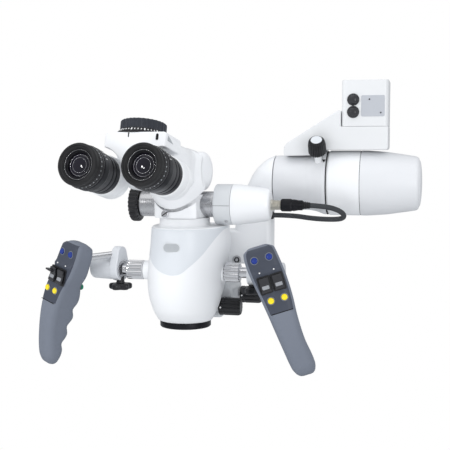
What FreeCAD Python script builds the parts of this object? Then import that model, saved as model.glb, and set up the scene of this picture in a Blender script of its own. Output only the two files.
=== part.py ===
import FreeCAD, Part
import math
import os

# Surgical microscope with its binocular tube, two handgrips and the suspension that carries it.
# Millimetres. Modelled about the optical axis of the head (X right, -Y towards the surgeon,
# +Z up, Z = 0 at the handgrip axis) and written with the origin on top of the suspension post.

V = FreeCAD.Vector
X_AXIS, Y_AXIS, Z_AXIS = V(1, 0, 0), V(0, 1, 0), V(0, 0, 1)
SIDES = (("left", -1), ("right", 1))

# Clearances
FIT = 0.05
RUNNING = 0.3
BUTTON_GAP = 0.2

# Suspension cylinder
SUSP_Y, SUSP_Z = 60.0, 95.0
SLEEVE_LEFT, SLEEVE_LENGTH, SLEEVE_R = 89.2, 58.6, 30.5
BAND_LENGTH, BAND_R = 36.0, 36.0
CORE_R = 20.0
CAP_LENGTH, CAP_END_R, CAP_DOME = 65.6, 28.7, 4.6
SHAFT_R, SHAFT_DEPTH = 12.0, 52.0

# Post and bracket
POST_X, POST_W, POST_D, POST_TOP = 191.0, 50.0, 50.0, 207.0
BRACKET_FLOOR = 3.0
GUSSET_TOP, GUSSET_TOE_X, GUSSET_TOE_H = 173.7, 100.6, 9.5
GUSSET_W = 40.0
SOCKET_R, BUSH_WALL, SOCKET_DEPTH = 12.5, 2.5, 40.0
DOME_R, DOME_H, DOME_X = 7.2, 4.5, 175.0
DOME_Z = (172.5, 185.8)
KNOB_X, KNOB_LEAN = 141.0, 42.0
KNOB_R, KNOB_LENGTH, KNOB_START = 9.8, 18.0, 46.0
KNOB_BOSS_R, KNOB_STEM_R = 6.5, 3.0

# Carrier arm
ARM_FACE = 88.8
ARM_HUB_LENGTH, ARM_HUB_TIP_R = 28.3, 12.0
ARM_FRONT, ARM_BACK = 44.0, 80.0
ARM_RIGHT, ARM_LEFT = 87.0, 48.0
ARM_BOTTOM, ARM_BAR_TOP = 3.0, 41.0
TILT_Z = 22.0
TILT_EYE_R, TILT_PIN_R, TILT_PIN_DEPTH = 19.0, 8.0, 14.0
TILT_BOSS_R, TILT_BOSS_START = 15.0, 34.0
SHAFT_SEAT = 14.0

# Head body
BODY_FOOT, BODY_TOP, NECK_TOP = -54.5, 50.0, 58.5
PANEL_SKIN = 1.5
OPTIC_BORE = 24.0
BODY_BACK = 41.0
NECK_HALF, NECK_FRONT, NECK_BACK = 27.0, 37.0, 27.0
OBJ_R, OBJ_H, LENS_R = 28.0, 7.1, 21.5
ZOOM_R, ZOOM_H, ZOOM_Z = 23.7, 16.0, -25.0
GRIP_Z = -1.0
GRIP_BOSS_R = 10.5
LEFT_BOSS_END, RIGHT_BOSS_END = 50.4, 44.4
NUT_R, NUT_END = 10.8, (70.0, 61.7)
STUB_R, STUB_DEPTH = 6.0, 8.0

# Rear lamp housing and its knobs
REAR_HALF, REAR_RIGHT, REAR_BACK = 36.0, 46.0, 86.0
REAR_BOTTOM, REAR_TOP, REAR_SHOULDER = -57.0, -3.0, -22.0
FILTER_KNOB = (33.8, 20.0, -42.0)
DIAPHRAGM_KNOB = (47.5, 72.0, -36.0)
LAMP_KNOB_R, LAMP_KNOB_LENGTH, LAMP_KNOB_SHAFT_R = 9.8, 25.0, 4.0
KNOB_POCKET_GAP = 0.8

# Beam splitter, ports and camera
SPLIT_R, SPLIT_TOP = 24.0, 84.0
PRISM = 20.0
PORT_Z, PORT_R, PORT_START = 72.8, 14.0, 20.0
PORT_LEFT_END, PORT_RIGHT_END = 54.0, 35.0
PORT_BORE_R = 9.0
PORT_KNOB_R, PORT_KNOB_LENGTH, PORT_KNOB_SPINDLE_R = 18.5, 10.3, 4.0
FOCUS_R, FOCUS_LENGTH, FOCUS_BEARING_R = 22.0, 18.7, 10.0
CAM_LENGTH, CAM_END_R = 40.7, 17.0
PLUG_NOSE_R, PLUG_NOSE_LENGTH = 5.5, 11.0
PLUG_BOOT_R, PLUG_BOOT_LENGTH = 6.8, 23.0
RELIEF_R, RELIEF_LENGTH = 4.6, 8.0
CABLE_R = 2.75
CABLE_ROUTE = ((152, 0, 72), (165, 5, 69), (172, 18, 64), (169, 33, 59.5), (156, 44, 57),
               (136, 49, 57.5), (112, 51, 60.5))
CABLE_END_Y, CABLE_END_Z = 51.0, 60.5

# Binocular tube
TUBE_YAW, TUBE_PITCH = 9.0, 13.0
TILT_F, TILT_AXIS_Z = 6.0, 111.0
BASE_R, BASE_BACK, BASE_WALL = 36.0, 24.8, 28.5
BASE_FOOT, BASE_TOP, BASE_DISC_R = 58.8, 87.3, 19.5
LUG_HALF, LUG_EYE_R, LUG_PIN_R = 7.0, 9.0, 4.0
DRUM_R, DRUM_HALF, DRUM_DOME = 23.0, 25.0, 5.0
CHIN_R, CHIN_EDGE_R, CHIN_HALF, CHIN_BACK = 50.0, 38.5, 26.0, 31.5
EYE_HALF, EYE_DROP, EYE_REACH = 33.2, 30.5, 165.3
EYECUP_R, EYECUP_LENGTH = 20.6, 9.0
DIOPTRE_R, DIOPTRE_LENGTH = 21.4, 8.0
BARREL_R, BARREL_LENGTH, BARREL_STEM_R = 21.0, 36.0, 15.0
EYEPIECE_SLEEVE_R, EYEPIECE_SLEEVE_LENGTH = 23.5, 37.0
HOUSING_HALF, HOUSING_REAR = 36.0, 50.0
HOUSING_LOW, HOOD_LOW, HOOD_TOP = -53.0, -7.0, 14.2
HOOD_REACH = 125.0
DIAL_REACH, DIAL_R, DIAL_FLANGE_R = 101.0, 23.5, 25.6
DIAL_FLANGE, DIAL_H = 1.6, 10.0
CLAMP_X, CLAMP_R, CLAMP_LENGTH, CLAMP_RISE = -7.0, 2.6, 11.0, 5.0
CLAMP_HEAD, CLAMP_HEAD_R = 4.0, 4.2

# Handgrips
BLOCK_X, BLOCK_T, BLOCK_R, BLOCK_TOP_R, BLOCK_TOP_Z = 70.3, 10.0, 13.0, 8.5, 16.0
BLOCK_BOSS_R, BLOCK_BOSS_END = 12.0, 110.0
STAR_R, STAR_H, STAR_LOBES, STAR_STEM_R = 11.5, 7.0, 5, 3.0
STAR_STEM, SCALLOP_R, SCALLOP_OUT = 2.5, 5.2, 2.2
ROD_R, ROD_SEAT = 3.8, 7.0
HANDLE_LENGTH, HANDLE_TOP_HALF, GRIP_HALF = 143.0, 16.5, 13.0
HANDLE_FRONT, HANDLE_REAR = 12.5, 11.5
NECK_DROP = 18.0
GROOVE_R, GROOVE_DEPTH, GROOVE_PITCH, GROOVE_FIRST, GROOVES = 13.0, 4.0, 20.0, 78.0, 3
BLUE_DROP, ROCKER_DROP, YELLOW_DROP, TRIGGER_DROP = 13.0, 40.0, 57.0, 52.0
BUTTON_HALF, YELLOW_HALF, ROCKER_HALF = 7.9, 7.2, 7.0
BUTTON_R, BUTTON_RISE, BUTTON_BODY = 3.3, 1.8, 3.0
ROCKER_W, ROCKER_L, ROCKER_T, ROCKER_POCKET = 10.4, 14.4, 4.2, 6.0
TRIGGER_R, TRIGGER_RISE = 3.4, 2.5
# Name, side, top, foot and turn of each handle
HANDLES = (("left", -1, (-124.0, -20.0, 33.0), (-155.0, -20.0, -106.0), -33.5),
           ("right", 1, (90.7, -36.0, 33.0), (133.6, -36.0, -104.0), 14.0))

# Derived places
ORIGIN = V(POST_X, SUSP_Y, POST_TOP)
SLEEVE_RIGHT = SLEEVE_LEFT + SLEEVE_LENGTH
BAND_LEFT = SLEEVE_RIGHT + RUNNING
CAP_LEFT = BAND_LEFT + BAND_LENGTH + RUNNING
BRACKET_BOTTOM = SUSP_Z + BAND_R + BRACKET_FLOOR
BLOCK_END = BLOCK_X + BLOCK_T
FOCUS_LEFT = PORT_RIGHT_END + RUNNING
CAM_LEFT = FOCUS_LEFT + FOCUS_LENGTH + RUNNING
PLUG_LEFT = CAM_LEFT + CAM_LENGTH
CABLE_START = PLUG_LEFT + PLUG_NOSE_LENGTH + PLUG_BOOT_LENGTH + RELIEF_LENGTH
BARREL_FRONT = EYE_REACH - EYECUP_LENGTH - DIOPTRE_LENGTH - 2 * RUNNING
SLEEVE_FRONT = BARREL_FRONT - BARREL_LENGTH
HOUSING_FACE = SLEEVE_FRONT - EYEPIECE_SLEEVE_LENGTH - RUNNING


def write(node, *solids):
    """Write one node, moved to the origin of the finished part."""
    shape = solids[0] if len(solids) == 1 else Part.makeCompound(list(solids))
    shape = shape.translated(ORIGIN * -1)
    shape.exportStep("parts/" + node + ".step")


def cylinder(radius, length, base, axis=Z_AXIS):
    return Part.makeCylinder(radius, length, V(*base), V(*axis))


def box(low, high):
    size = V(*high) - V(*low)
    return Part.makeBox(size.x, size.y, size.z, V(*low))


def placed(shape, base, axis):
    """Stand a shape that was made along Z on a base point, along an axis."""
    moved = shape.copy()
    moved.Placement = FreeCAD.Placement(V(*base), FreeCAD.Rotation(Z_AXIS, V(*axis)))
    return moved


def turned(profile, base=(0, 0, 0), axis=Z_AXIS):
    """Revolve (height, radius) points, closed to the axis, about a line."""
    points = [V(0, 0, profile[0][0])] + [V(r, 0, h) for h, r in profile if r > 0]
    points.append(V(0, 0, profile[-1][0]))
    face = Part.Face(Part.makePolygon(points + points[:1]))
    return placed(face.revolve(V(0, 0, 0), Z_AXIS, 360), base, axis)


def dome_profile(radius, height, start, steps=4):
    """Profile points of a cap that closes a cylinder with an elliptic dome."""
    points = []
    for step in range(1, steps + 1):
        angle = math.pi / 2 * step / steps
        points.append((start + height * math.sin(angle), max(radius * math.cos(angle), 0.0)))
    return points


def fluted(radius, length, count, groove, base, axis, edge=0.8):
    """A turned knob with straight flutes round its rim."""
    knob = turned(((0, radius - edge), (edge, radius), (length - edge, radius),
                   (length, radius - edge)))
    cuts = []
    for index in range(count):
        angle = 2 * math.pi * index / count
        spot = (radius * math.cos(angle), radius * math.sin(angle), -1)
        cuts.append(Part.makeCylinder(groove, length + 2, V(*spot)))
    return placed(knob.cut(cuts), base, axis)


def prism(points, axis, start, end):
    """Extrude an outline given in the two other axes, from start to end along an axis."""
    if axis == "x":
        corners = [V(start, a, b) for a, b in points]
        way = V(end - start, 0, 0)
    elif axis == "y":
        corners = [V(a, start, b) for a, b in points]
        way = V(0, end - start, 0)
    else:
        corners = [V(a, b, start) for a, b in points]
        way = V(0, 0, end - start)
    return Part.Face(Part.makePolygon(corners + corners[:1])).extrude(way)


def oval(half, front, back, corner, z):
    """Closed plan outline: half an ellipse in front, a rectangle with round corners behind."""
    if front > half:
        ellipse = Part.Ellipse(V(0, front, z), V(-half, 0, z), V(0, 0, z))
        first = math.pi / 2
    else:
        ellipse = Part.Ellipse(V(0, 0, z), half, front)
        first = math.pi
    edges = [Part.Arc(ellipse, first, first + math.pi).toShape()]
    low = corner * (1 - math.sqrt(0.5))
    side, rear = back - corner, half - corner
    for points in (((half, 0), (half, side)), ((half, side), (half - low, back - low), (rear, back)),
                   ((rear, back), (-rear, back)), ((-rear, back), (low - half, back - low), (-half, side)),
                   ((-half, side), (-half, 0))):
        spots = [V(x, y, z) for x, y in points]
        curve = Part.LineSegment(*spots) if len(spots) == 2 else Part.Arc(*spots)
        edges.append(curve.toShape())
    return Part.Wire(edges)


def body_form(skin=0.0):
    """The egg shaped body, or the same form a skin's thickness smaller."""
    sections = ((BODY_FOOT, 29.5, 29.6, 29.4, 27.5), (-42.0, 36.0, 43.0, 36.0, 32.0),
                (-24.0, 41.2, 53.0, 40.0, 33.0), (0.0, 42.5, 59.5, BODY_BACK, 27.0),
                (26.0, 41.2, 61.0, BODY_BACK + 1.0, 18.0), (BODY_TOP, 39.6, 59.0, BODY_BACK + 0.5, 12.0))
    wires = [oval(half - skin, front - skin, back - skin, corner - skin, z)
             for z, half, front, back, corner in sections]
    return Part.makeLoft(wires, True, False)


def panel_region():
    """Front region of the grey panel: a V with a rounded foot, its right edge rising to the side."""
    return prism(((-60, 70), (-60, 16), (-34, 13), (-19, 5), (-6, 1.5), (6, 1.5), (16, 8), (30, 25),
                  (44, 44), (60, 70)), "y", -80, 0)


def write_suspension():
    axis = (SUSP_Y, SUSP_Z)
    sleeve = cylinder(SLEEVE_R, SLEEVE_LENGTH, (SLEEVE_LEFT, *axis), X_AXIS)
    core = cylinder(CORE_R, CAP_LEFT - SLEEVE_RIGHT, (SLEEVE_RIGHT, *axis), X_AXIS)
    flare = turned(((0, SLEEVE_R), (6, SLEEVE_R + 1.2), (14, BAND_R - 0.6), (17, BAND_R - 0.6)),
                   (SLEEVE_RIGHT - 17, *axis), X_AXIS)
    left = POST_X - POST_W / 2
    right = POST_X + POST_W / 2
    gusset = prism(((GUSSET_TOE_X, SUSP_Z + 22), (GUSSET_TOE_X, BRACKET_BOTTOM - 8 + GUSSET_TOE_H),
                    (left - 3, GUSSET_TOP), (left + 2, GUSSET_TOP), (left + 2, BRACKET_BOTTOM),
                    (SLEEVE_RIGHT, BRACKET_BOTTOM), (SLEEVE_RIGHT, SUSP_Z + 22)),
                   "y", SUSP_Y - GUSSET_W / 2, SUSP_Y + GUSSET_W / 2)
    gusset = gusset.cut(cylinder(BAND_R + BRACKET_FLOOR, BAND_LENGTH + 20, (SLEEVE_RIGHT, *axis), X_AXIS))
    post = box((left, SUSP_Y - POST_D / 2, BRACKET_BOTTOM), (right, SUSP_Y + POST_D / 2, POST_TOP))
    post = post.makeFillet(5, [edge for edge in post.Edges
                               if abs(edge.Vertexes[0].X - edge.Vertexes[-1].X) < 0.1
                               and abs(edge.Vertexes[0].Y - edge.Vertexes[-1].Y) < 0.1])
    lean = math.radians(KNOB_LEAN)
    way = V(0, -math.sin(lean), math.cos(lean))
    centre = V(KNOB_X, *axis)
    boss = cylinder(KNOB_BOSS_R, KNOB_START - RUNNING - 20, centre + way * 20, way)
    bracket = sleeve.fuse([flare, core, gusset, post, boss])
    bracket = bracket.cut([cylinder(SHAFT_R + FIT, SHAFT_DEPTH + 1, (SLEEVE_LEFT - 1, *axis), X_AXIS),
                           cylinder(SOCKET_R + BUSH_WALL, SOCKET_DEPTH,
                                    (POST_X, SUSP_Y, POST_TOP - SOCKET_DEPTH)),
                           cylinder(KNOB_STEM_R + FIT, 16, centre + way * (KNOB_START - 15), way)])
    write("post_bracket", bracket.removeSplitter())
    socket = (POST_X, SUSP_Y, POST_TOP - SOCKET_DEPTH)
    bush = cylinder(SOCKET_R + BUSH_WALL, SOCKET_DEPTH, socket)
    write("mount_bush", bush.cut(cylinder(SOCKET_R, SOCKET_DEPTH, socket)))
    caps = []
    for z in DOME_Z:
        caps.append(turned([(0, DOME_R), (1.6, DOME_R)] + dome_profile(DOME_R - 0.8, DOME_H - 1.6, 1.6),
                           (DOME_X, SUSP_Y - POST_D / 2, z), V(0, -1, 0)))
    write("post_caps", *caps)
    knob = fluted(KNOB_R, KNOB_LENGTH, 16, 0.9, centre + way * KNOB_START, way)
    stem = cylinder(KNOB_STEM_R, 12, centre + way * (KNOB_START - 11.5), way)
    write("friction_knob", knob.fuse(stem).removeSplitter())
    band = turned(((0, BAND_R - 2.0), (2, BAND_R), (BAND_LENGTH, BAND_R)), (BAND_LEFT, *axis), X_AXIS)
    write("balance_ring", band.cut(cylinder(CORE_R + FIT, BAND_LENGTH + 2, (BAND_LEFT - 1, *axis), X_AXIS)))
    cap = turned([(0, BAND_R), (8, BAND_R), (30, BAND_R - 1.6), (50, BAND_R - 4.6), (CAP_LENGTH, CAP_END_R)]
                 + dome_profile(CAP_END_R - 1, CAP_DOME, CAP_LENGTH), (CAP_LEFT, *axis), X_AXIS)
    write("end_cap", cap)


def write_arm():
    axis = (SUSP_Y, SUSP_Z)
    hub = turned([(0, SLEEVE_R), (6, SLEEVE_R), (14, SLEEVE_R - 2.4), (21, SLEEVE_R - 8),
                  (ARM_HUB_LENGTH, ARM_HUB_TIP_R)], (ARM_FACE, *axis), V(-1, 0, 0))
    tip = ARM_FACE - ARM_HUB_LENGTH
    leg = prism(((tip, SUSP_Z), (ARM_LEFT + 3, 62), (ARM_LEFT - 4, ARM_BAR_TOP), (0, ARM_BAR_TOP),
                 (0, ARM_BOTTOM), (ARM_RIGHT - 8, ARM_BOTTOM), (ARM_RIGHT, ARM_BOTTOM + 8),
                 (ARM_RIGHT, SUSP_Z)), "y", ARM_FRONT, ARM_BACK)
    eye = cylinder(TILT_EYE_R, ARM_BACK - ARM_FRONT, (0, ARM_FRONT, TILT_Z), Y_AXIS)
    arm = hub.fuse([leg, eye]).removeSplitter()
    arm = arm.cut([cylinder(TILT_PIN_R, ARM_BACK, (0, ARM_FRONT - 1, TILT_Z), Y_AXIS),
                   cylinder(SHAFT_R, SHAFT_SEAT + 1, (ARM_FACE - SHAFT_SEAT, *axis), X_AXIS)])
    write("carrier_arm", arm)
    swing = cylinder(SHAFT_R, SHAFT_SEAT + SHAFT_DEPTH - 1, (ARM_FACE - SHAFT_SEAT, *axis), X_AXIS)
    pin_start = ARM_FRONT - RUNNING - TILT_PIN_DEPTH
    pin = cylinder(TILT_PIN_R, ARM_BACK - pin_start, (0, pin_start, TILT_Z), Y_AXIS)
    write("arm_shafts", swing, pin)


def write_head():
    body = body_form()
    panel = body.cut(body_form(PANEL_SKIN)).common(panel_region())
    panel = max(panel.Solids, key=lambda solid: solid.Volume)
    neck_plan = Part.Face(oval(NECK_HALF, NECK_FRONT, NECK_BACK, NECK_HALF - 1, BODY_TOP))
    neck = neck_plan.extrude(V(0, 0, NECK_TOP - BODY_TOP))
    back_boss = cylinder(TILT_BOSS_R, ARM_FRONT - RUNNING - TILT_BOSS_START, (0, TILT_BOSS_START, TILT_Z),
                         Y_AXIS)
    shell = body.fuse([neck, back_boss])
    for side, reach in ((-1, LEFT_BOSS_END), (1, RIGHT_BOSS_END)):
        shell = shell.fuse(cylinder(GRIP_BOSS_R, reach - 34, (side * 34, 0, GRIP_Z), V(side, 0, 0)))
        shell = shell.cut(cylinder(STUB_R + FIT, 30, (side * (reach - STUB_DEPTH), 0, GRIP_Z),
                                   V(side, 0, 0)))
    shell = shell.cut([panel, cylinder(OPTIC_BORE, BODY_TOP - 4 - BODY_FOOT, (0, 0, BODY_FOOT)),
                       cylinder(12, 30, (0, 0, BODY_TOP - 10)),
                       cylinder(TILT_PIN_R + FIT, ARM_BACK,
                                (0, ARM_FRONT - TILT_PIN_DEPTH - 1, TILT_Z), Y_AXIS),
                       cylinder(LAMP_KNOB_SHAFT_R + FIT, 12, (FILTER_KNOB[0] - 8, *FILTER_KNOB[1:]),
                                X_AXIS),
                       cylinder(LAMP_KNOB_R + KNOB_POCKET_GAP, LAMP_KNOB_LENGTH,
                                (FILTER_KNOB[0] - RUNNING, *FILTER_KNOB[1:]), X_AXIS)])
    write("body_shell", shell.removeSplitter())
    write("front_panel", panel)
    ring = turned(((0, OBJ_R - 0.6), (0.6, OBJ_R), (OBJ_H, OBJ_R)), (0, 0, BODY_FOOT - OBJ_H))
    ring = ring.cut(cylinder(LENS_R, OBJ_H + 2, (0, 0, BODY_FOOT - OBJ_H - 1)))
    write("objective_ring", ring)
    lens = turned(((0, 12), (1.2, LENS_R - 1), (1.6, LENS_R), (OBJ_H - 1.5, LENS_R)),
                  (0, 0, BODY_FOOT - OBJ_H + 1))
    write("objective_lens", lens)
    zoom = cylinder(ZOOM_R, ZOOM_H, (0, 0, ZOOM_Z)).cut(
        [cylinder(6.5, ZOOM_H + 2, (side * 10.5, 0, ZOOM_Z - 1)) for _, side in SIDES])
    write("zoom_carriage", zoom)
    rear = prism(((-REAR_HALF, REAR_BOTTOM + 10), (-REAR_HALF, REAR_SHOULDER), (-12, REAR_TOP),
                  (12, REAR_TOP),
                  (REAR_RIGHT, REAR_SHOULDER), (REAR_RIGHT, REAR_BOTTOM + 18),
                  (REAR_RIGHT - 12, REAR_BOTTOM),
                  (-REAR_HALF + 10, REAR_BOTTOM)), "y", 20, REAR_BACK)
    rear = rear.cut(body)
    rear = max(rear.Solids, key=lambda solid: solid.Volume)
    rear = rear.cut([cylinder(LAMP_KNOB_SHAFT_R + FIT, 12, (DIAPHRAGM_KNOB[0] - 8, *DIAPHRAGM_KNOB[1:]),
                              X_AXIS),
                     cylinder(LAMP_KNOB_SHAFT_R + FIT, 20, (FILTER_KNOB[0] - 8, *FILTER_KNOB[1:]), X_AXIS),
                     cylinder(LAMP_KNOB_R + 1, 60, (FILTER_KNOB[0] - 1, *FILTER_KNOB[1:]), X_AXIS),
                     cylinder(OBJ_R + 1, OBJ_H, (0, 0, BODY_FOOT - OBJ_H))])
    write("rear_housing", max(rear.Solids, key=lambda solid: solid.Volume))
    for node, spot in (("filter_knob", FILTER_KNOB), ("diaphragm_knob", DIAPHRAGM_KNOB)):
        knob = fluted(LAMP_KNOB_R, LAMP_KNOB_LENGTH, 12, 1.3, spot, X_AXIS)
        shaft = cylinder(LAMP_KNOB_SHAFT_R, 8, (spot[0] - 7, *spot[1:]), X_AXIS)
        write(node, knob.fuse(shaft).removeSplitter())
    for (name, side), reach, end in zip(SIDES, (LEFT_BOSS_END, RIGHT_BOSS_END), NUT_END):
        start = reach + RUNNING
        nut = fluted(NUT_R, end - start, 14, 0.9, (side * start, 0, GRIP_Z), V(side, 0, 0))
        bore = cylinder(STUB_R + FIT, end - start + 2, (side * (start - 1), 0, GRIP_Z), V(side, 0, 0))
        write(name + "_grip_nut", nut.cut(bore))


def write_ports():
    ports = [cylinder(PORT_R, PORT_LEFT_END - PORT_START, (-PORT_START, 0, PORT_Z), V(-1, 0, 0)),
             cylinder(PORT_R, PORT_RIGHT_END - PORT_START, (PORT_START, 0, PORT_Z), X_AXIS)]
    splitter = cylinder(SPLIT_R, SPLIT_TOP - NECK_TOP, (0, 0, NECK_TOP))
    splitter = splitter.cut(ports + [box((-PRISM / 2, -PRISM / 2, NECK_TOP),
                                         (PRISM / 2, PRISM / 2, NECK_TOP + PRISM)),
                                     cylinder(PORT_BORE_R - 2, 40, (-20, 0, PORT_Z - 3), X_AXIS)])
    write("splitter_housing", splitter)
    write("splitter_prism", box((-PRISM / 2, -PRISM / 2, NECK_TOP),
                                (PRISM / 2, PRISM / 2, NECK_TOP + PRISM)))
    left = ports[0].cut([cylinder(PORT_BORE_R, PORT_LEFT_END - PORT_START - 4,
                                  (-PORT_LEFT_END + 4, 0, PORT_Z), X_AXIS),
                         cylinder(PORT_KNOB_SPINDLE_R + FIT, 6, (-PORT_LEFT_END - 1, 0, PORT_Z), X_AXIS)])
    bearing = cylinder(FOCUS_BEARING_R, CAM_LEFT - PORT_RIGHT_END, (PORT_RIGHT_END, 0, PORT_Z), X_AXIS)
    right = ports[1].fuse(bearing).cut(cylinder(7, 60, (PORT_START - 1, 0, PORT_Z), X_AXIS))
    write("port_tubes", left, right.removeSplitter())
    knob = fluted(PORT_KNOB_R, PORT_KNOB_LENGTH, 24, 1.4, (-PORT_LEFT_END - RUNNING, 0, PORT_Z),
                  V(-1, 0, 0))
    spindle = cylinder(PORT_KNOB_SPINDLE_R, 5, (-PORT_LEFT_END - 1, 0, PORT_Z), X_AXIS)
    write("port_knob", knob.fuse(spindle).removeSplitter())
    ring = turned(((0, FOCUS_R - 0.8), (0.8, FOCUS_R), (FOCUS_LENGTH, FOCUS_R)), (FOCUS_LEFT, 0, PORT_Z),
                  X_AXIS)
    write("focus_ring", ring.cut(cylinder(FOCUS_BEARING_R + FIT, FOCUS_LENGTH + 2,
                                          (FOCUS_LEFT - 1, 0, PORT_Z), X_AXIS)))
    camera = turned(((0, FOCUS_R), (CAM_LENGTH - 5, CAM_END_R + 0.8), (CAM_LENGTH - 1.5, CAM_END_R - 0.6),
                     (CAM_LENGTH, CAM_END_R - 2.6)), (CAM_LEFT, 0, PORT_Z), X_AXIS)
    write("camera_housing", camera)
    boot_start = PLUG_NOSE_LENGTH
    boot_end = boot_start + PLUG_BOOT_LENGTH
    nose = turned(((0, PLUG_NOSE_R), (4, PLUG_NOSE_R), (4, PLUG_NOSE_R - 0.8), (7, PLUG_NOSE_R - 0.8),
                   (7, PLUG_NOSE_R), (boot_start, PLUG_NOSE_R)), (PLUG_LEFT, 0, PORT_Z), X_AXIS)
    boot = turned(((boot_start, PLUG_BOOT_R - 0.8), (boot_start + 1.5, PLUG_BOOT_R),
                   (boot_end - 11, PLUG_BOOT_R - 0.4),
                   (boot_end - 7, RELIEF_R + 1), (boot_end, RELIEF_R + 0.8),
                   (boot_end + RELIEF_LENGTH, RELIEF_R - 0.8)),
                  (PLUG_LEFT, 0, PORT_Z), X_AXIS)
    write("camera_plug", nose, boot)
    write("camera_cable", cable_tube())


def cable_tube():
    """A tube of straight runs and tangent arcs along the cable's route."""
    points = [V(CABLE_START, 0, PORT_Z)] + [V(*point) for point in CABLE_ROUTE]
    points.append(V(ARM_RIGHT, CABLE_END_Y, CABLE_END_Z))
    edges = []
    last = points[0]
    for before, corner, after in zip(points, points[1:], points[2:]):
        into = (corner - before).normalize()
        out = (after - corner).normalize()
        half = into.getAngle(out) / 2
        trim = 0.45 * min((corner - before).Length, (after - corner).Length)
        radius = trim / math.tan(half)
        start = corner - into * trim
        end = corner + out * trim
        bisector = (out - into).normalize()
        middle = corner + bisector * (radius / math.cos(half) - radius)
        print("cable radius", round(radius, 1))
        edges.append(Part.LineSegment(last, start).toShape())
        edges.append(Part.Arc(start, middle, end).toShape())
        last = end
    edges.append(Part.LineSegment(last, points[-1]).toShape())
    path = Part.Wire(edges)
    ring = Part.Wire(Part.makeCircle(CABLE_R, points[0], points[1] - points[0]))
    tube = path.makePipeShell([ring], True, False)
    section = math.pi * CABLE_R ** 2
    print("cable length", round(path.Length, 1), "volume ratio",
          round(tube.Volume / (section * path.Length), 4))
    return tube


def to_base(shape):
    """From the tube base's own frame (front along -Y, optical axis at 0, 0) to the head's."""
    return shape.rotated(V(0, 0, 0), Z_AXIS, -TUBE_YAW)


def to_tube(shape):
    """From the tilting head's frame (tilt axis along X through 0, 0, 0) to the head's."""
    pitched = shape.rotated(V(0, 0, 0), X_AXIS, -TUBE_PITCH)
    return to_base(pitched.translated(V(0, -TILT_F, TILT_AXIS_Z)))


def chin_form(gap=0.0):
    """Barrel shaped chin about the tilt axis, in the base's frame."""
    edge = V(-CHIN_HALF - gap, -CHIN_EDGE_R - gap, 0)
    crown = V(0, -CHIN_R - gap, 0)
    far = V(CHIN_HALF + gap, -CHIN_EDGE_R - gap, 0)
    arc = Part.Arc(edge, crown, far).toShape()
    sides = Part.makePolygon([far, V(far.x, 0, 0), V(edge.x, 0, 0), edge])
    face = Part.Face(Part.Wire([arc] + sides.Edges))
    return face.revolve(V(0, 0, 0), X_AXIS, 360).translated(V(0, -TILT_F, TILT_AXIS_Z))


def write_tube_base():
    wide = 2 * BASE_R
    shield = cylinder(BASE_R, BASE_TOP - BASE_FOOT, (0, 0, BASE_FOOT))
    shield = shield.common(box((-wide, -wide, BASE_FOOT), (wide, -BASE_BACK, BASE_TOP)))
    cavity = chin_form(2 * RUNNING).common(box((-wide, -wide, 0), (wide, -BASE_WALL, 2 * TILT_AXIS_Z)))
    shield = shield.cut(cavity)
    plate_low = SPLIT_TOP + RUNNING
    plate = cylinder(BASE_DISC_R, BASE_TOP - plate_low, (0, 0, plate_low))
    tongue = box((-16, -BASE_WALL, plate_low), (16, 0, BASE_TOP))
    eye = (-LUG_HALF, -TILT_F, TILT_AXIS_Z)
    lug = cylinder(LUG_EYE_R, 2 * LUG_HALF, eye, X_AXIS)
    web = box((-LUG_HALF, -TILT_F - LUG_EYE_R, BASE_TOP - 1), (LUG_HALF, -TILT_F + LUG_EYE_R, TILT_AXIS_Z))
    base = shield.fuse([plate, tongue, lug, web]).removeSplitter()
    base = base.cut([cylinder(LUG_PIN_R + FIT, 4 * LUG_HALF, (-2 * LUG_HALF, *eye[1:]), X_AXIS),
                     cylinder(CLAMP_R + FIT, CLAMP_LENGTH, (CLAMP_X, -BASE_R - 1, BASE_FOOT + CLAMP_RISE),
                              Y_AXIS)])
    write("tube_base", to_base(base))
    front = -BASE_R - CLAMP_HEAD - RUNNING
    height = BASE_FOOT + CLAMP_RISE
    head = cylinder(CLAMP_HEAD_R, CLAMP_HEAD, (CLAMP_X, front, height), Y_AXIS)
    slot = box((CLAMP_X - CLAMP_HEAD_R, front - 1, height - 0.6),
               (CLAMP_X + CLAMP_HEAD_R, front + 1, height + 0.6))
    stem = cylinder(CLAMP_R, CLAMP_LENGTH - 1, (CLAMP_X, front + CLAMP_HEAD - 1, height), Y_AXIS)
    write("tube_clamp_screw", to_base(head.fuse(stem).removeSplitter().cut(slot)))


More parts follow.
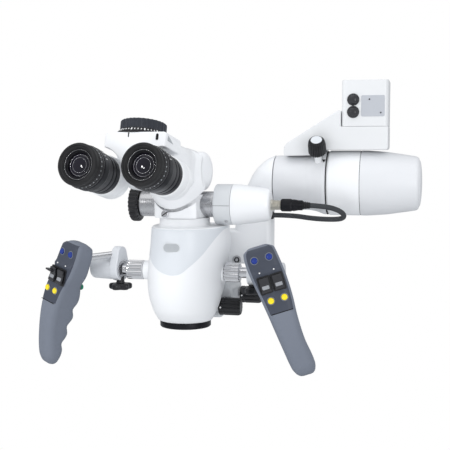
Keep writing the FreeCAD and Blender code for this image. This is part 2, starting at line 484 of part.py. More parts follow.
def write_tube_housing():
    drum = turned([(-DRUM_DOME, DRUM_R - 9), (-DRUM_DOME * 0.6, DRUM_R - 3.5), (0, DRUM_R),
                   (2 * DRUM_HALF, DRUM_R),
                   (2 * DRUM_HALF + DRUM_DOME * 0.6, DRUM_R - 3.5),
                   (2 * DRUM_HALF + DRUM_DOME, DRUM_R - 9)],
                  (-DRUM_HALF, 0, 0), X_AXIS)
    front = prism(((-HOUSING_FACE, HOUSING_LOW), (-HOUSING_FACE, HOOD_LOW), (-HOUSING_FACE, HOOD_TOP),
                   (-HOUSING_REAR, HOOD_TOP + 4), (-HOUSING_REAR + 8, HOOD_TOP - 8),
                   (-HOUSING_REAR, HOUSING_LOW + 8)),
                  "x", -HOUSING_HALF, HOUSING_HALF)
    hood = prism(((-HOOD_REACH, HOOD_LOW), (-HOOD_REACH, HOOD_TOP), (-HOUSING_FACE + 2, HOOD_TOP),
                  (-HOUSING_FACE + 2, HOOD_LOW)), "x", -HOUSING_HALF + 3, HOUSING_HALF - 3)
    nose = prism(((-HOUSING_HALF + 3, HOOD_LOW), (-5, HOOD_LOW - 24), (5, HOOD_LOW - 24),
                  (HOUSING_HALF - 3, HOOD_LOW)),
                 "y", -HOOD_REACH, -HOOD_REACH + 4)
    for _, side in SIDES:
        nose = nose.cut(cylinder(BARREL_R + 6, 12, (side * EYE_HALF, -HOOD_REACH - 4, -EYE_DROP), Y_AXIS))
    neck = prism(((-HOUSING_FACE + 12, HOUSING_LOW + 6), (-HOUSING_FACE + 12, HOOD_TOP),
                  (-HOUSING_REAR, HOOD_TOP + 4),
                  (-4, DRUM_R - 0.4), (-DRUM_R * 0.5, -DRUM_R * 0.8), (-34, -32)), "x", -CHIN_HALF,
                  CHIN_HALF)
    tilting = drum.fuse([front, hood, neck]).removeSplitter()
    tilting = tilting.rotated(V(0, 0, 0), X_AXIS, -TUBE_PITCH).translated(V(0, -TILT_F, TILT_AXIS_Z))
    wide = 4 * BASE_R
    chin = chin_form().common(box((-wide, -wide, 0), (wide, -CHIN_BACK, TILT_AXIS_Z)))
    tilting = tilting.fuse(chin)
    below = box((-wide, -CHIN_BACK, 0), (wide, wide, BASE_TOP + 1.2))
    in_front = cylinder(BASE_R + 1, BASE_TOP, (0, 0, 0)).cut(chin_form())
    slot = box((-LUG_HALF - RUNNING, -TILT_F - LUG_EYE_R - 9, 0),
               (LUG_HALF + RUNNING, wide, TILT_AXIS_Z + LUG_EYE_R + 1))
    tilting = tilting.cut([below, in_front, slot])
    pin = cylinder(LUG_PIN_R, 4 * LUG_HALF, (-2 * LUG_HALF, -TILT_F, TILT_AXIS_Z), X_AXIS)
    tilting = max(tilting.Solids, key=lambda solid: solid.Volume)
    write("tube_housing", to_base(tilting.fuse(pin).removeSplitter()))


def write_eyepieces():
    flange = turned(((0, DIAL_FLANGE_R), (DIAL_FLANGE, DIAL_FLANGE_R)))
    dial = fluted(DIAL_R, DIAL_H - DIAL_FLANGE, 20, 1.2, (0, 0, DIAL_FLANGE), Z_AXIS)
    spot = V(0, -DIAL_REACH, HOOD_TOP + RUNNING)
    write("distance_dial", to_tube(flange.fuse(dial).removeSplitter().translated(spot)))
    for name, side in SIDES:
        centre = (side * EYE_HALF, -EYE_DROP)

        def along(radius, near, far):
            return cylinder(radius, near - far, (centre[0], -near, centre[1]), Y_AXIS)

        sleeve = along(EYEPIECE_SLEEVE_R, SLEEVE_FRONT, SLEEVE_FRONT - EYEPIECE_SLEEVE_LENGTH)
        sleeve = sleeve.makeChamfer(1.5, [edge for edge in sleeve.Edges if len(edge.Vertexes) == 1])
        write(name + "_eyepiece_sleeve", to_tube(sleeve))
        stem_end = EYE_REACH - EYECUP_LENGTH + 3
        barrel = along(BARREL_R, BARREL_FRONT,
                       SLEEVE_FRONT).fuse(along(BARREL_STEM_R, stem_end, SLEEVE_FRONT))
        recess = along(BARREL_STEM_R - 2, stem_end + 1, stem_end - 3)
        write(name + "_eyepiece", to_tube(barrel.cut(recess).removeSplitter()))
        ring_near = BARREL_FRONT + RUNNING + DIOPTRE_LENGTH
        ring = along(DIOPTRE_R, ring_near, BARREL_FRONT + RUNNING)
        ring = ring.cut(along(BARREL_STEM_R + FIT, EYE_REACH, SLEEVE_FRONT))
        write(name + "_dioptre_ring", to_tube(ring))
        cup = turned(((0, EYECUP_R), (EYECUP_LENGTH - 3, EYECUP_R), (EYECUP_LENGTH, EYECUP_R - 2)))
        cup = placed(cup, (centre[0], -EYE_REACH + EYECUP_LENGTH, centre[1]), V(0, -1, 0))
        cup = cup.cut(along(BARREL_STEM_R + FIT, EYE_REACH + 1, SLEEVE_FRONT))
        write(name + "_eyecup", to_tube(cup))


def rounded_section(half, front, back, corner, z):
    """Rounded rectangle in plan, as one closed wire of four lines and four arcs."""
    edges = []
    corners = ((half, back), (-half, back), (-half, -front), (half, -front))
    for index, (x, y) in enumerate(corners):
        centre = V(x - math.copysign(corner, x), y - math.copysign(corner, y), z)
        start = math.pi / 2 * index
        points = [centre + V(corner * math.cos(start + turn), corner * math.sin(start + turn), 0)
                  for turn in (0, math.pi / 4, math.pi / 2)]
        edges.append(Part.Arc(*points).toShape())
    wire = []
    for index, arc in enumerate(edges):
        wire.append(arc)
        following = edges[(index + 1) % 4]
        wire.append(Part.LineSegment(arc.Vertexes[-1].Point, following.Vertexes[0].Point).toShape())
    return Part.Wire(wire)


def handle_form():
    """Handgrip in its own frame: top at the origin, running down -Z, button panel on -Y."""
    rows = ((0, 11.0, 7.5, 7.0, 6.0), (-5, 15.4, 11.0, 10.5, 7.0),
            (-30, HANDLE_TOP_HALF, HANDLE_FRONT, HANDLE_REAR, 7.0),
            (-60, 16.0, 14.5, 11.0, 7.5), (-78, 14.0, 16.0, 12.5, 8.0), (-104, GRIP_HALF, 15.0, 14.0, 9.0),
            (-132, GRIP_HALF, 9.5, 15.5, 9.0), (-HANDLE_LENGTH, 9.5, 4.0, 12.0, 7.0))
    wires = [rounded_section(half, front, back, corner, z) for z, half, front, back, corner in rows]
    form = Part.makeLoft(wires, True, False)
    for index in range(GROOVES):
        z = -GROOVE_FIRST - index * GROOVE_PITCH
        back = 12.5 + 0.04 * (GROOVE_FIRST - 78 + index * GROOVE_PITCH)
        form = form.cut(cylinder(GROOVE_R, 60, (-30, back + GROOVE_R - GROOVE_DEPTH, z), X_AXIS))
    index_rest = cylinder(24, 60, (-30, HANDLE_REAR + 24 - 3.5, -TRIGGER_DROP + 4), X_AXIS)
    form = form.cut(index_rest)
    neck = turned(((0, 9.0), (4, 7.0), (9, ROD_R + 1.5)), (0, HANDLE_REAR - 1.5, -NECK_DROP), Y_AXIS)
    return form.fuse(neck).removeSplitter()


def face_depth(drop):
    """Depth of the button panel's face at a distance below the handle's top."""
    return HANDLE_FRONT + max(0.0, (drop - 30) / 15)


def control_spots():
    """Name, sideways place and drop of each control on the button panel."""
    spots = []
    for kind, half, drop in (("blue_button", BUTTON_HALF, BLUE_DROP),
                             ("yellow_button", YELLOW_HALF, YELLOW_DROP),
                             ("rocker", ROCKER_HALF, ROCKER_DROP)):
        for name, side in SIDES:
            spots.append((kind, name, side * half, drop))
    return spots


def write_handle(name, side, top, foot, turn):
    up = V(*top) - V(*foot)
    up.normalize()
    facing = V(math.sin(math.radians(turn)), -math.cos(math.radians(turn)), 0)
    rotation = FreeCAD.Rotation(V(0, 0, 0), facing * -1, up, "ZYX")
    placement = FreeCAD.Placement(V(*top), rotation)

    def put(shape):
        moved = shape.copy()
        moved.Placement = placement.multiply(moved.Placement)
        return moved

    form = handle_form()
    pockets = []
    for kind, _, x, drop in control_spots():
        face = face_depth(drop)
        if kind == "rocker":
            half_w = ROCKER_W / 2 + BUTTON_GAP
            half_l = ROCKER_L / 2 + 2 * BUTTON_GAP
            pockets.append(box((x - half_w, -face - 5, -drop - half_l),
                               (x + half_w, -face + ROCKER_POCKET, -drop + half_l)))
        else:
            pockets.append(cylinder(BUTTON_R + BUTTON_GAP, 10, (x, -face - 4, -drop), Y_AXIS))
    trigger_back = HANDLE_REAR - 3.5
    pockets.append(cylinder(TRIGGER_R + BUTTON_GAP, 12, (0, trigger_back - 5.5, -TRIGGER_DROP), Y_AXIS))
    start = placement.multVec(V(0, HANDLE_REAR + 7.5 - ROD_SEAT, -NECK_DROP))
    hole = V(side * (BLOCK_END - 3), 0, BLOCK_TOP_Z)
    rod_way = hole - start
    rod = Part.makeCylinder(ROD_R, rod_way.Length, start, rod_way)
    write(name + "_handle", put(form.cut(pockets)).cut(rod))
    write(name + "_grip_rod", rod)
    for kind, place, x, drop in control_spots():
        face = face_depth(drop)
        if kind == "rocker":
            key = box((x - ROCKER_W / 2, -face - 1.2, -drop - ROCKER_L / 2),
                      (x + ROCKER_W / 2, -face + ROCKER_T - 1.2, -drop + ROCKER_L / 2))
            key = key.cut(cylinder(16, 30, (x - 15, -face - 16, -drop), X_AXIS))
            if side < 0 and place == "left":
                blade = box((x - 8, -face - 4.5, -drop + 3.0), (x - 2, -face - 0.5, -drop + 4.2))
                key = key.fuse(blade).removeSplitter()
        else:
            key = turned(((0, BUTTON_R), (BUTTON_BODY + BUTTON_RISE - 0.6, BUTTON_R),
                          (BUTTON_BODY + BUTTON_RISE, BUTTON_R - 0.9)), (x, -face + BUTTON_BODY, -drop),
                          V(0, -1, 0))
        write(name + "_" + place + "_" + kind, put(key))
    trigger = turned(((0, TRIGGER_R), (3 + TRIGGER_RISE - 1, TRIGGER_R), (3 + TRIGGER_RISE, TRIGGER_R - 1)),
                     (0, trigger_back - 3, -TRIGGER_DROP), Y_AXIS)
    write(name + "_trigger", put(trigger))
    return start, rod_way


def write_bracket(name, side, start, rod_way):
    way = V(side, 0, 0)
    low = cylinder(BLOCK_R, BLOCK_T, (side * BLOCK_X, 0, GRIP_Z), way)
    high = cylinder(BLOCK_TOP_R, BLOCK_T, (side * BLOCK_X, 0, BLOCK_TOP_Z), way)
    web = prism(((-BLOCK_R, GRIP_Z), (-BLOCK_TOP_R, BLOCK_TOP_Z), (BLOCK_TOP_R, BLOCK_TOP_Z),
                 (BLOCK_R, GRIP_Z)),
                "x", side * BLOCK_X, side * BLOCK_END)
    boss = cylinder(BLOCK_BOSS_R, BLOCK_BOSS_END - BLOCK_END + 1, (side * (BLOCK_END - 1), 0, GRIP_Z), way)
    boss_end = LEFT_BOSS_END if side < 0 else RIGHT_BOSS_END
    stub_start = boss_end - STUB_DEPTH + 1
    stub = cylinder(STUB_R, BLOCK_X + 2 - stub_start, (side * stub_start, 0, GRIP_Z), way)
    block = low.fuse([high, web, boss, stub]).removeSplitter()
    socket = Part.makeCylinder(ROD_R + FIT, rod_way.Length + 0.5, start, rod_way)
    stem_x = side * (BLOCK_X + BLOCK_T / 2)
    stem_top = GRIP_Z - BLOCK_R + 6
    block = block.cut([socket, cylinder(STAR_STEM_R + FIT, 12, (stem_x, 0, stem_top - 11.5))])
    write(name + "_grip_bracket", max(block.Solids, key=lambda solid: solid.Volume))
    star_top = GRIP_Z - BLOCK_R - STAR_STEM
    star = cylinder(STAR_R, STAR_H, (stem_x, 0, star_top - STAR_H))
    scallops = []
    for index in range(STAR_LOBES):
        angle = 2 * math.pi * index / STAR_LOBES
        reach = STAR_R + SCALLOP_OUT
        spot = (stem_x + reach * math.cos(angle), reach * math.sin(angle), star_top - STAR_H - 1)
        scallops.append(cylinder(SCALLOP_R, STAR_H + 2, spot))
    stem = cylinder(STAR_STEM_R, stem_top - star_top + 1 - 0.5, (stem_x, 0, star_top - 1))
    write(name + "_clamp_knob", star.cut(scallops).fuse(stem).removeSplitter())


os.makedirs("parts", exist_ok=True)
write_suspension()
write_arm()
write_head()
write_ports()
write_tube_base()
write_tube_housing()
write_eyepieces()
for grip, hand, grip_top, grip_foot, grip_turn in HANDLES:
    rod_start, rod_way = write_handle(grip, hand, grip_top, grip_foot, grip_turn)
    write_bracket(grip, hand, rod_start, rod_way)
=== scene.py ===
"""Visible form and finish of a surgical microscope on its swing suspension.

Every piece is built in millimetres in a local frame of its own sub-assembly and placed
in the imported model's frame, in metres, where it rides on the body that carries it.
"""

import logging
import math
from dataclasses import dataclass, field
from enum import Enum
from typing import Callable, Sequence

import bmesh
import bpy
from mathutils import Matrix, Vector


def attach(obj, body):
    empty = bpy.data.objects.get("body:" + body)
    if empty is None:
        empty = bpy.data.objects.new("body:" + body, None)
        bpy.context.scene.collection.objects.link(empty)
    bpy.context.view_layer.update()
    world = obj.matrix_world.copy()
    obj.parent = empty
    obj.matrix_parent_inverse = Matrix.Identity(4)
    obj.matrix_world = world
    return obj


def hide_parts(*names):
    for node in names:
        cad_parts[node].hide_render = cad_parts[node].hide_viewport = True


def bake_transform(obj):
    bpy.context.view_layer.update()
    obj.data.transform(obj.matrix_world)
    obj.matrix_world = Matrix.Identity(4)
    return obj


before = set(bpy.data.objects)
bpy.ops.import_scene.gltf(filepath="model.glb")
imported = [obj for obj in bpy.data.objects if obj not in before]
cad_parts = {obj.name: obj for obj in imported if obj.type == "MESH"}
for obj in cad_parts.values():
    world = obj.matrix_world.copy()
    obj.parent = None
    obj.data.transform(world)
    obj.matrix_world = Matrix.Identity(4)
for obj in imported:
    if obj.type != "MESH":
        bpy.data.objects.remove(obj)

LOG = logging.getLogger("microscope")
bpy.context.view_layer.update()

Point = tuple[float, float, float]
Colour = tuple[float, float, float]
Profile = Sequence[tuple[float, float]]
RadiusAt = Callable[[float, float, float], float]
Form = bmesh.types.BMesh
Piece = bpy.types.Object

MM = 0.001
SUSPENSION_Y = 60.0
SUSPENSION_Z = 95.0
ROW_ORIGIN = Vector((191.0, SUSPENSION_Y, 207.0))
SIDES = (("left", -1), ("right", 1))
SMOOTH_ANGLE = math.radians(38.0)
ROUND_STEPS = 72


class Way(Enum):
    """Axis of a local frame that a form is made along."""

    X = (1.0, 0.0, 0.0)
    Y = (0.0, 1.0, 0.0)
    Z = (0.0, 0.0, 1.0)
    MINUS_X = (-1.0, 0.0, 0.0)
    MINUS_Y = (0.0, -1.0, 0.0)

    @classmethod
    def out(cls, side: int) -> "Way":
        """The way outward on a side of the head."""
        return cls.X if side > 0 else cls.MINUS_X


@dataclass(frozen=True)
class Place:
    """A local frame in millimetres, seen from the head's own frame.

    The head's frame has the optical axis at X = Y = 0 and the handgrip axis at Z = 0.
    """

    origin: Point = (0.0, 0.0, 0.0)
    turn: Matrix = field(default_factory=lambda: Matrix.Identity(3))

    def matrix(self) -> Matrix:
        """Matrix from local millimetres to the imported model's frame in metres."""
        move = Matrix.Translation((Vector(self.origin) - ROW_ORIGIN) * MM)
        return move @ self.turn.to_4x4() @ Matrix.Scale(MM, 4)

    def then(self, origin: Point, turn: Matrix) -> "Place":
        """A frame with its origin and turn given in this one."""
        return Place(tuple(Vector(self.origin) + self.turn @ Vector(origin)), self.turn @ turn)


HEAD = Place()
TUBE_YAW = math.radians(9.0)
TUBE_PITCH = math.radians(13.0)
TILT_POINT = (0.0, -6.0, 111.0)
BASE = HEAD.then((0.0, 0.0, 0.0), Matrix.Rotation(-TUBE_YAW, 3, "Z"))
TUBE = BASE.then(TILT_POINT, Matrix.Rotation(-TUBE_PITCH, 3, "X"))

# Turns that stand a flat outline up, named by the way that it is raised
FACING_FRONT = Matrix(((1.0, 0.0, 0.0), (0.0, 0.0, -1.0), (0.0, 1.0, 0.0)))
FRONT_TO_BACK = Matrix(((1.0, 0.0, 0.0), (0.0, 0.0, 1.0), (0.0, 1.0, 0.0)))
LEFT_TO_RIGHT = Matrix(((0.0, 0.0, 1.0), (1.0, 0.0, 0.0), (0.0, 1.0, 0.0)))
ALONG_THE_KEY = Matrix(((0.0, 0.0, 1.0), (0.0, -1.0, 0.0), (1.0, 0.0, 0.0)))


# Shader expressions

class Socket:
    """A shader socket in an expression that adds its Math nodes."""

    def __init__(self, shader: "Shader", value: bpy.types.NodeSocket):
        """Wrap an output socket of one of a shader's nodes."""
        self.shader = shader
        self.value = value

    def _math(self, operation: str, other: object) -> "Socket":
        """Add a Math node of this socket and another Socket or number."""
        return self.shader.node("ShaderNodeMath", {"operation": operation}, {0: self, 1: other})

    def __add__(self, other: object) -> "Socket":
        """Sum."""
        return self._math("ADD", other)

    def __mul__(self, other: object) -> "Socket":
        """Product."""
        return self._math("MULTIPLY", other)

    __radd__ = __add__
    __rmul__ = __mul__


class Shader:
    """A material under construction: one Principled BSDF and the nodes that feed it."""

    def __init__(self, name: str):
        """Start an empty material with this name."""
        self.material = bpy.data.materials.new(name)
        self.material.use_nodes = True
        self.tree = self.material.node_tree
        self.tree.nodes.clear()
        self.output = self.tree.nodes.new("ShaderNodeOutputMaterial")
        self.bsdf = self.tree.nodes.new("ShaderNodeBsdfPrincipled")
        self.tree.links.new(self.bsdf.outputs[0], self.output.inputs["Surface"])

    def node(self, kind: str, settings: dict | None = None, inputs: dict | None = None,
             output: int | str = 0) -> Socket:
        """Add a node.

        Args:
            kind: The node's type.
            settings: Properties to set first.
            inputs: Values or Sockets by input name or number.
            output: Name or number of the output to return.

        Returns:
            The output socket.
        """
        node = self.tree.nodes.new(kind)
        for key, value in (settings or {}).items():
            setattr(node, key, value)
        for key, value in (inputs or {}).items():
            self.feed(node.inputs[key], value)
        return Socket(self, node.outputs[output])

    def feed(self, socket: bpy.types.NodeSocket, value: object) -> None:
        """Link a Socket to an input, or set the input to a number or a tuple."""
        if isinstance(value, Socket):
            self.tree.links.new(value.value, socket)
        elif isinstance(value, tuple) and socket.type == "RGBA":
            socket.default_value = (*value[:3], 1.0)
        else:
            socket.default_value = value

    def set(self, **values: object) -> None:
        """Set or feed inputs of the Principled BSDF, with spaces written as underscores."""
        for key, value in values.items():
            self.feed(self.bsdf.inputs[key.replace("_", " ")], value)

    def place(self) -> Socket:
        """Object coordinates, in metres."""
        return self.node("ShaderNodeTexCoord", output="Object")

    def noise(self, scale: float, detail: float = 2.0, vector: Socket | None = None,
              rough: float = 0.5) -> Socket:
        """Noise between 0 and 1.

        Args:
            scale: Features per metre.
            detail: Octaves.
            vector: Coordinates, or None for the object's own.
            rough: Share of the fine octaves.

        Returns:
            The noise's value.
        """
        return self.node("ShaderNodeTexNoise", {}, {"Vector": vector or self.place(), "Scale": scale,
                                                    "Detail": detail, "Roughness": rough})

    def mix(self, factor: object, first: object, second: object) -> Socket:
        """Mix two colours; the factor is the share of the second."""
        return self.node("ShaderNodeMix", {"data_type": "RGBA"}, {0: factor, 6: first, 7: second}, 2)

    def span(self, value: Socket, low: float, high: float, to_low: float, to_high: float) -> Socket:
        """Map the range from low to high of a value to another range, clamped."""
        return self.node("ShaderNodeMapRange", {}, {0: value, 1: low, 2: high, 3: to_low, 4: to_high})

    def bump(self, height: Socket, depth: float, strength: float) -> None:
        """Feed a bump to the surface.

        Args:
            height: Height between 0 and 1.
            depth: Depth in metres at full height.
            strength: Share of the effect.
        """
        self.set(Normal=self.node("ShaderNodeBump", {}, {"Strength": strength, "Distance": depth,
                                                         "Height": height}))


@dataclass(frozen=True)
class Finish:
    """What every finish has: a name, the record's slot it belongs to, and a colour."""

    name: str
    slot: str
    colour: Colour

    def build(self) -> bpy.types.Material:
        """Make the material once and keep it."""
        made = bpy.data.materials.get(self.name)
        if made is None:
            shader = Shader(self.name)
            self.dress(shader)
            made = shader.material
            made.diffuse_color = (*self.colour, 1.0)
        return made

    def dress(self, shader: Shader) -> None:
        """Fill the shader; each finish has its own way."""
        raise NotImplementedError

    def shade(self, shader: Shader, spread: float, scale: float) -> Socket:
        """The finish's colour with a slow change of tone over the surface.

        Args:
            shader: The shader.
            spread: Share by which the darkest place is darker.
            scale: Features per metre.

        Returns:
            The colour.
        """
        dark = tuple(channel * (1.0 - spread) for channel in self.colour)
        return shader.mix(shader.noise(scale, 3.0), dark, self.colour)


@dataclass(frozen=True)
class PowderCoat(Finish):
    """Satin powder coat on a metal casting, with its fine orange peel."""

    roughness: float = 0.38
    peel: float = 0.000012

    def dress(self, shader: Shader) -> None:
        """Paint with orange peel and a faint change of gloss."""
        cloud = shader.noise(35.0, 3.0)
        shader.set(Base_Color=self.shade(shader, 0.025, 22.0), Coat_Weight=0.25, Coat_Roughness=0.22,
                   Roughness=shader.span(cloud, 0.3, 0.7, self.roughness - 0.04, self.roughness + 0.05),
                   Specular_IOR_Level=0.45)
        shader.bump(shader.noise(620.0), self.peel, 0.5)


@dataclass(frozen=True)
class TurnedMetal(Finish):
    """Bare metal with fine lines left by the lathe or the brush."""

    roughness: float = 0.26
    lines: float = 900.0
    along: Way = Way.X
    depth: float = 0.000001

    def dress(self, shader: Shader) -> None:
        """Metal with lines round its axis."""
        stretch = tuple(self.lines if part else 12.0 for part in self.along.value)
        scaled = shader.node("ShaderNodeVectorMath", {"operation": "MULTIPLY"},
                             {0: shader.place(), 1: stretch})
        lines = shader.noise(1.0, 3.0, scaled, 0.7)
        wear = shader.noise(60.0) + lines * 0.6
        shader.set(Base_Color=self.shade(shader, 0.05, 30.0), Metallic=1.0,
                   Roughness=shader.span(wear, 0.5, 1.1, self.roughness - 0.06, self.roughness + 0.1))
        shader.bump(lines, self.depth, 0.6)


@dataclass(frozen=True)
class MouldedPlastic(Finish):
    """Moulded plastic with a fine spark eroded grain."""

    roughness: float = 0.45
    grain: float = 2200.0
    depth: float = 0.00002
    coat: float = 0.0
    worn: float = 0.08
    gloss: float = 0.4

    def dress(self, shader: Shader) -> None:
        """Grain, slight wear and a change of gloss."""
        grain = shader.noise(self.grain, rough=0.6)
        cloud = shader.noise(55.0, 3.0)
        light = tuple(min(1.0, channel * (1.0 + self.worn) + 0.01 * self.worn) for channel in self.colour)
        base = shader.mix(shader.span(cloud, 0.45, 0.75, 0.0, 1.0), self.colour, light)
        rough = shader.span(cloud + grain * 0.5, 0.5, 1.0, self.roughness - 0.05, self.roughness + 0.07)
        shader.set(Base_Color=base, Coat_Weight=self.coat, Coat_Roughness=0.12,
                   Specular_IOR_Level=self.gloss, Roughness=rough)
        shader.bump(grain, self.depth, 0.7)


@dataclass(frozen=True)
class Rubber(Finish):
    """Matt rubber with a dusty bloom in places."""

    bloom: float = 0.35

    def dress(self, shader: Shader) -> None:
        """Matt black with a bloom and a very fine grain."""
        cloud = shader.noise(70.0, 4.0)
        light = tuple(channel + 0.03 for channel in self.colour)
        shader.set(Base_Color=shader.mix(shader.span(cloud, 0.4, 0.8, 0.0, self.bloom), self.colour, light),
                   Roughness=shader.span(cloud, 0.3, 0.7, 0.5, 0.64), Specular_IOR_Level=0.4)
        shader.bump(shader.noise(3800.0, 1.0), 0.00001, 0.6)


@dataclass(frozen=True)
class CoatedGlass(Finish):
    """The dark look of a coated lens with blackness behind it."""

    rim: Colour = (0.020, 0.012, 0.040)

    def dress(self, shader: Shader) -> None:
        """Near black glass with a faint coloured reflection and a trace of dust."""
        weight = shader.node("ShaderNodeLayerWeight", {}, {"Blend": 0.35}, "Facing")
        shader.set(Base_Color=shader.mix(weight, self.colour, self.rim), Coat_Weight=0.5,
                   Coat_Roughness=0.02, Coat_IOR=1.5, Specular_IOR_Level=0.3, IOR=1.55,
                   Roughness=shader.span(shader.noise(900.0), 0.55, 0.8, 0.04, 0.09))


class Look(Enum):
    """Every finish on the microscope."""

    WHITE = PowderCoat("white_coat", "white_paint", (0.90, 0.91, 0.925))
    POST = PowderCoat("post_coat", "white_paint", (0.78, 0.79, 0.80))
    PANEL = PowderCoat("panel_coat", "panel_paint", (0.72, 0.75, 0.785))
    GREY = PowderCoat("grey_coat", "grey_paint", (0.66, 0.68, 0.70))
    SLEEVE = PowderCoat("sleeve_coat", "grey_paint", (0.76, 0.77, 0.79))
    PLATE = PowderCoat("plate_coat", "grey_paint", (0.50, 0.52, 0.56))
    SILVER = PowderCoat("silver_coat", "silver_paint", (0.70, 0.72, 0.75), roughness=0.34)
    BADGE = MouldedPlastic("badge_plastic", "grey_paint", (0.42, 0.44, 0.46), roughness=0.4)
    STEEL = TurnedMetal("turned_steel", "steel", (0.66, 0.66, 0.675))
    STEEL_UP = TurnedMetal("turned_steel_up", "steel", (0.55, 0.55, 0.56), along=Way.Z)
    CHROME = TurnedMetal("bright_chrome", "chrome", (0.84, 0.84, 0.86), roughness=0.12)
    BRASS = TurnedMetal("plated_nose", "steel", (0.74, 0.71, 0.63), roughness=0.3)
    KNOB = MouldedPlastic("knob_plastic", "black_knob", (0.012, 0.012, 0.014), roughness=0.34, coat=0.15)
    DIAL = MouldedPlastic("dial_plastic", "black_knob", (0.030, 0.034, 0.044), roughness=0.36)
    ANODISED = MouldedPlastic("black_anodised", "black_anodised", (0.010, 0.010, 0.012), roughness=0.30,
                              grain=3200.0, depth=0.000006)
    RUBBER = Rubber("soft_rubber", "rubber", (0.014, 0.014, 0.015))
    CABLE = Rubber("cable_jacket", "rubber", (0.040, 0.043, 0.048))
    GLOSS = MouldedPlastic("gloss_black", "gloss_black", (0.004, 0.004, 0.005), roughness=0.12, coat=0.4,
                           depth=0.000002, gloss=0.25)
    HANDLE = MouldedPlastic("handle_plastic", "handle_plastic", (0.014, 0.018, 0.027), roughness=0.36,
                            depth=0.00001, gloss=0.15)
    PANEL_DARK = MouldedPlastic("handle_panel", "handle_plastic", (0.056, 0.064, 0.086), roughness=0.40,
                                gloss=0.3)
    # Painted reflection: a grey patch standing for light mirrored on the glossy black key's lower face
    PAINTED_KEY_REFLECTION = MouldedPlastic("painted_key_reflection", "gloss_black", (0.28, 0.29, 0.31), roughness=0.35)
    BLUE = MouldedPlastic("blue_button", "blue_plastic", (0.010, 0.034, 0.24), roughness=0.25, coat=0.2)
    YELLOW = MouldedPlastic("yellow_button", "yellow_plastic", (0.92, 0.72, 0.012), roughness=0.28, coat=0.4)
    GREEN = MouldedPlastic("green_trigger", "green_plastic", (0.0, 0.22, 0.12), roughness=0.28, coat=0.4)
    MARK = MouldedPlastic("white_mark", "white_paint", (0.82, 0.82, 0.82), roughness=0.5)
    # Near black for small dark parts and printed marks, and also painted shade: rings, strips and plates
    # laid in seams, splits and slots where only shade falls
    BLACK_AND_SHADE = MouldedPlastic("black_and_painted_shade", "black_knob", (0.004, 0.004, 0.005), roughness=0.7)
    LENS = CoatedGlass("coated_lens", "lens_glass", (0.003, 0.003, 0.006))


# Outlines and profiles

def rounded(profile: Profile, width: float, steps: int = 4) -> list[tuple[float, float]]:
    """Round the inner corners of an open profile.

    Args:
        profile: Its points.
        width: Most length taken from each side of a corner.
        steps: Points along each rounding, less one.

    Returns:
        The rounded profile.
    """
    points = [Vector(point) for point in profile]
    made = [points[0]]
    for before, here, after in zip(points, points[1:], points[2:]):
        back, ahead = before - here, after - here
        reach = min(width, back.length * 0.45, ahead.length * 0.45)
        start, end = here + back.normalized() * reach, here + ahead.normalized() * reach
        for share in (step / steps for step in range(steps + 1)):
            made.append(start * (1 - share) ** 2 + here * 2 * share * (1 - share) + end * share ** 2)
    return [tuple(point) for point in (*made, points[-1])]


def rounded_outline(corners: Profile, radius: float | Sequence[float],
                    steps: int = 6) -> list[tuple[float, float]]:
    """Round the corners of a closed outline with arcs.

    Args:
        corners: Corners in order.
        radius: One radius, or one for each corner.
        steps: Points along each arc, less one.

    Returns:
        The outline.
    """
    count = len(corners)
    radii = [radius] * count if isinstance(radius, (int, float)) else radius
    made = []
    for index, corner in enumerate(corners):
        here = Vector(corner)
        back = Vector(corners[index - 1]) - here
        ahead = Vector(corners[(index + 1) % count]) - here
        half = back.angle(ahead) / 2
        reach = min(radii[index] / math.tan(half), back.length * 0.49, ahead.length * 0.49)
        back.normalize()
        ahead.normalize()
        centre = here + (back + ahead).normalized() * reach / math.cos(half)
        start = here + back * reach - centre
        sweep = start.angle_signed(here + ahead * reach - centre)
        for step in range(steps + 1):
            made.append(tuple(centre + Matrix.Rotation(-sweep * step / steps, 2) @ start))
    return made


def box_outline(width: float, height: float, radius: float, steps: int = 6) -> list[tuple[float, float]]:
    """A rectangle with rounded corners round the origin."""
    x, y = width / 2, height / 2
    return rounded_outline([(-x, -y), (x, -y), (x, y), (-x, y)], radius, steps)


def superellipse(half_x: float, half_y: float, power: float, steps: int) -> list[tuple[float, float]]:
    """Points of a superellipse round the origin; a power of 2 is an ellipse."""
    turns = [(math.cos(a), math.sin(a)) for a in (math.tau * step / steps for step in range(steps))]
    return [(half_x * math.copysign(abs(c) ** (2 / power), c),
             half_y * math.copysign(abs(s) ** (2 / power), s)) for c, s in turns]


def dome(radius: float, start: float, height: float, steps: int = 8) -> list[tuple[float, float]]:
    """Profile points of a dome, from its rim to its top."""
    return [(radius * math.cos(a), start + height * math.sin(a))
            for a in (math.pi / 2 * step / steps for step in range(steps + 1))]


def flutes(count: int, depth: float, sharp: float = 1.0) -> RadiusAt:
    """Grooves round a knob, for `turned`; a sharpness above 1 makes them narrower."""
    def radius_at(radius: float, _: float, angle: float) -> float:
        wave = (0.5 + 0.5 * math.cos(angle * count)) ** sharp
        return radius - depth * wave * min(1.0, radius / (depth * 8))
    return radius_at


def height_on(line: Profile, x: float) -> float:
    """Height of a line of points at x, level beyond its ends."""
    if x <= line[0][0]:
        return line[0][1]
    for (x0, z0), (x1, z1) in zip(line, line[1:]):
        if x <= x1:
            return z0 + (z1 - z0) * (x - x0) / max(x1 - x0, 1e-9)
    return line[-1][1]


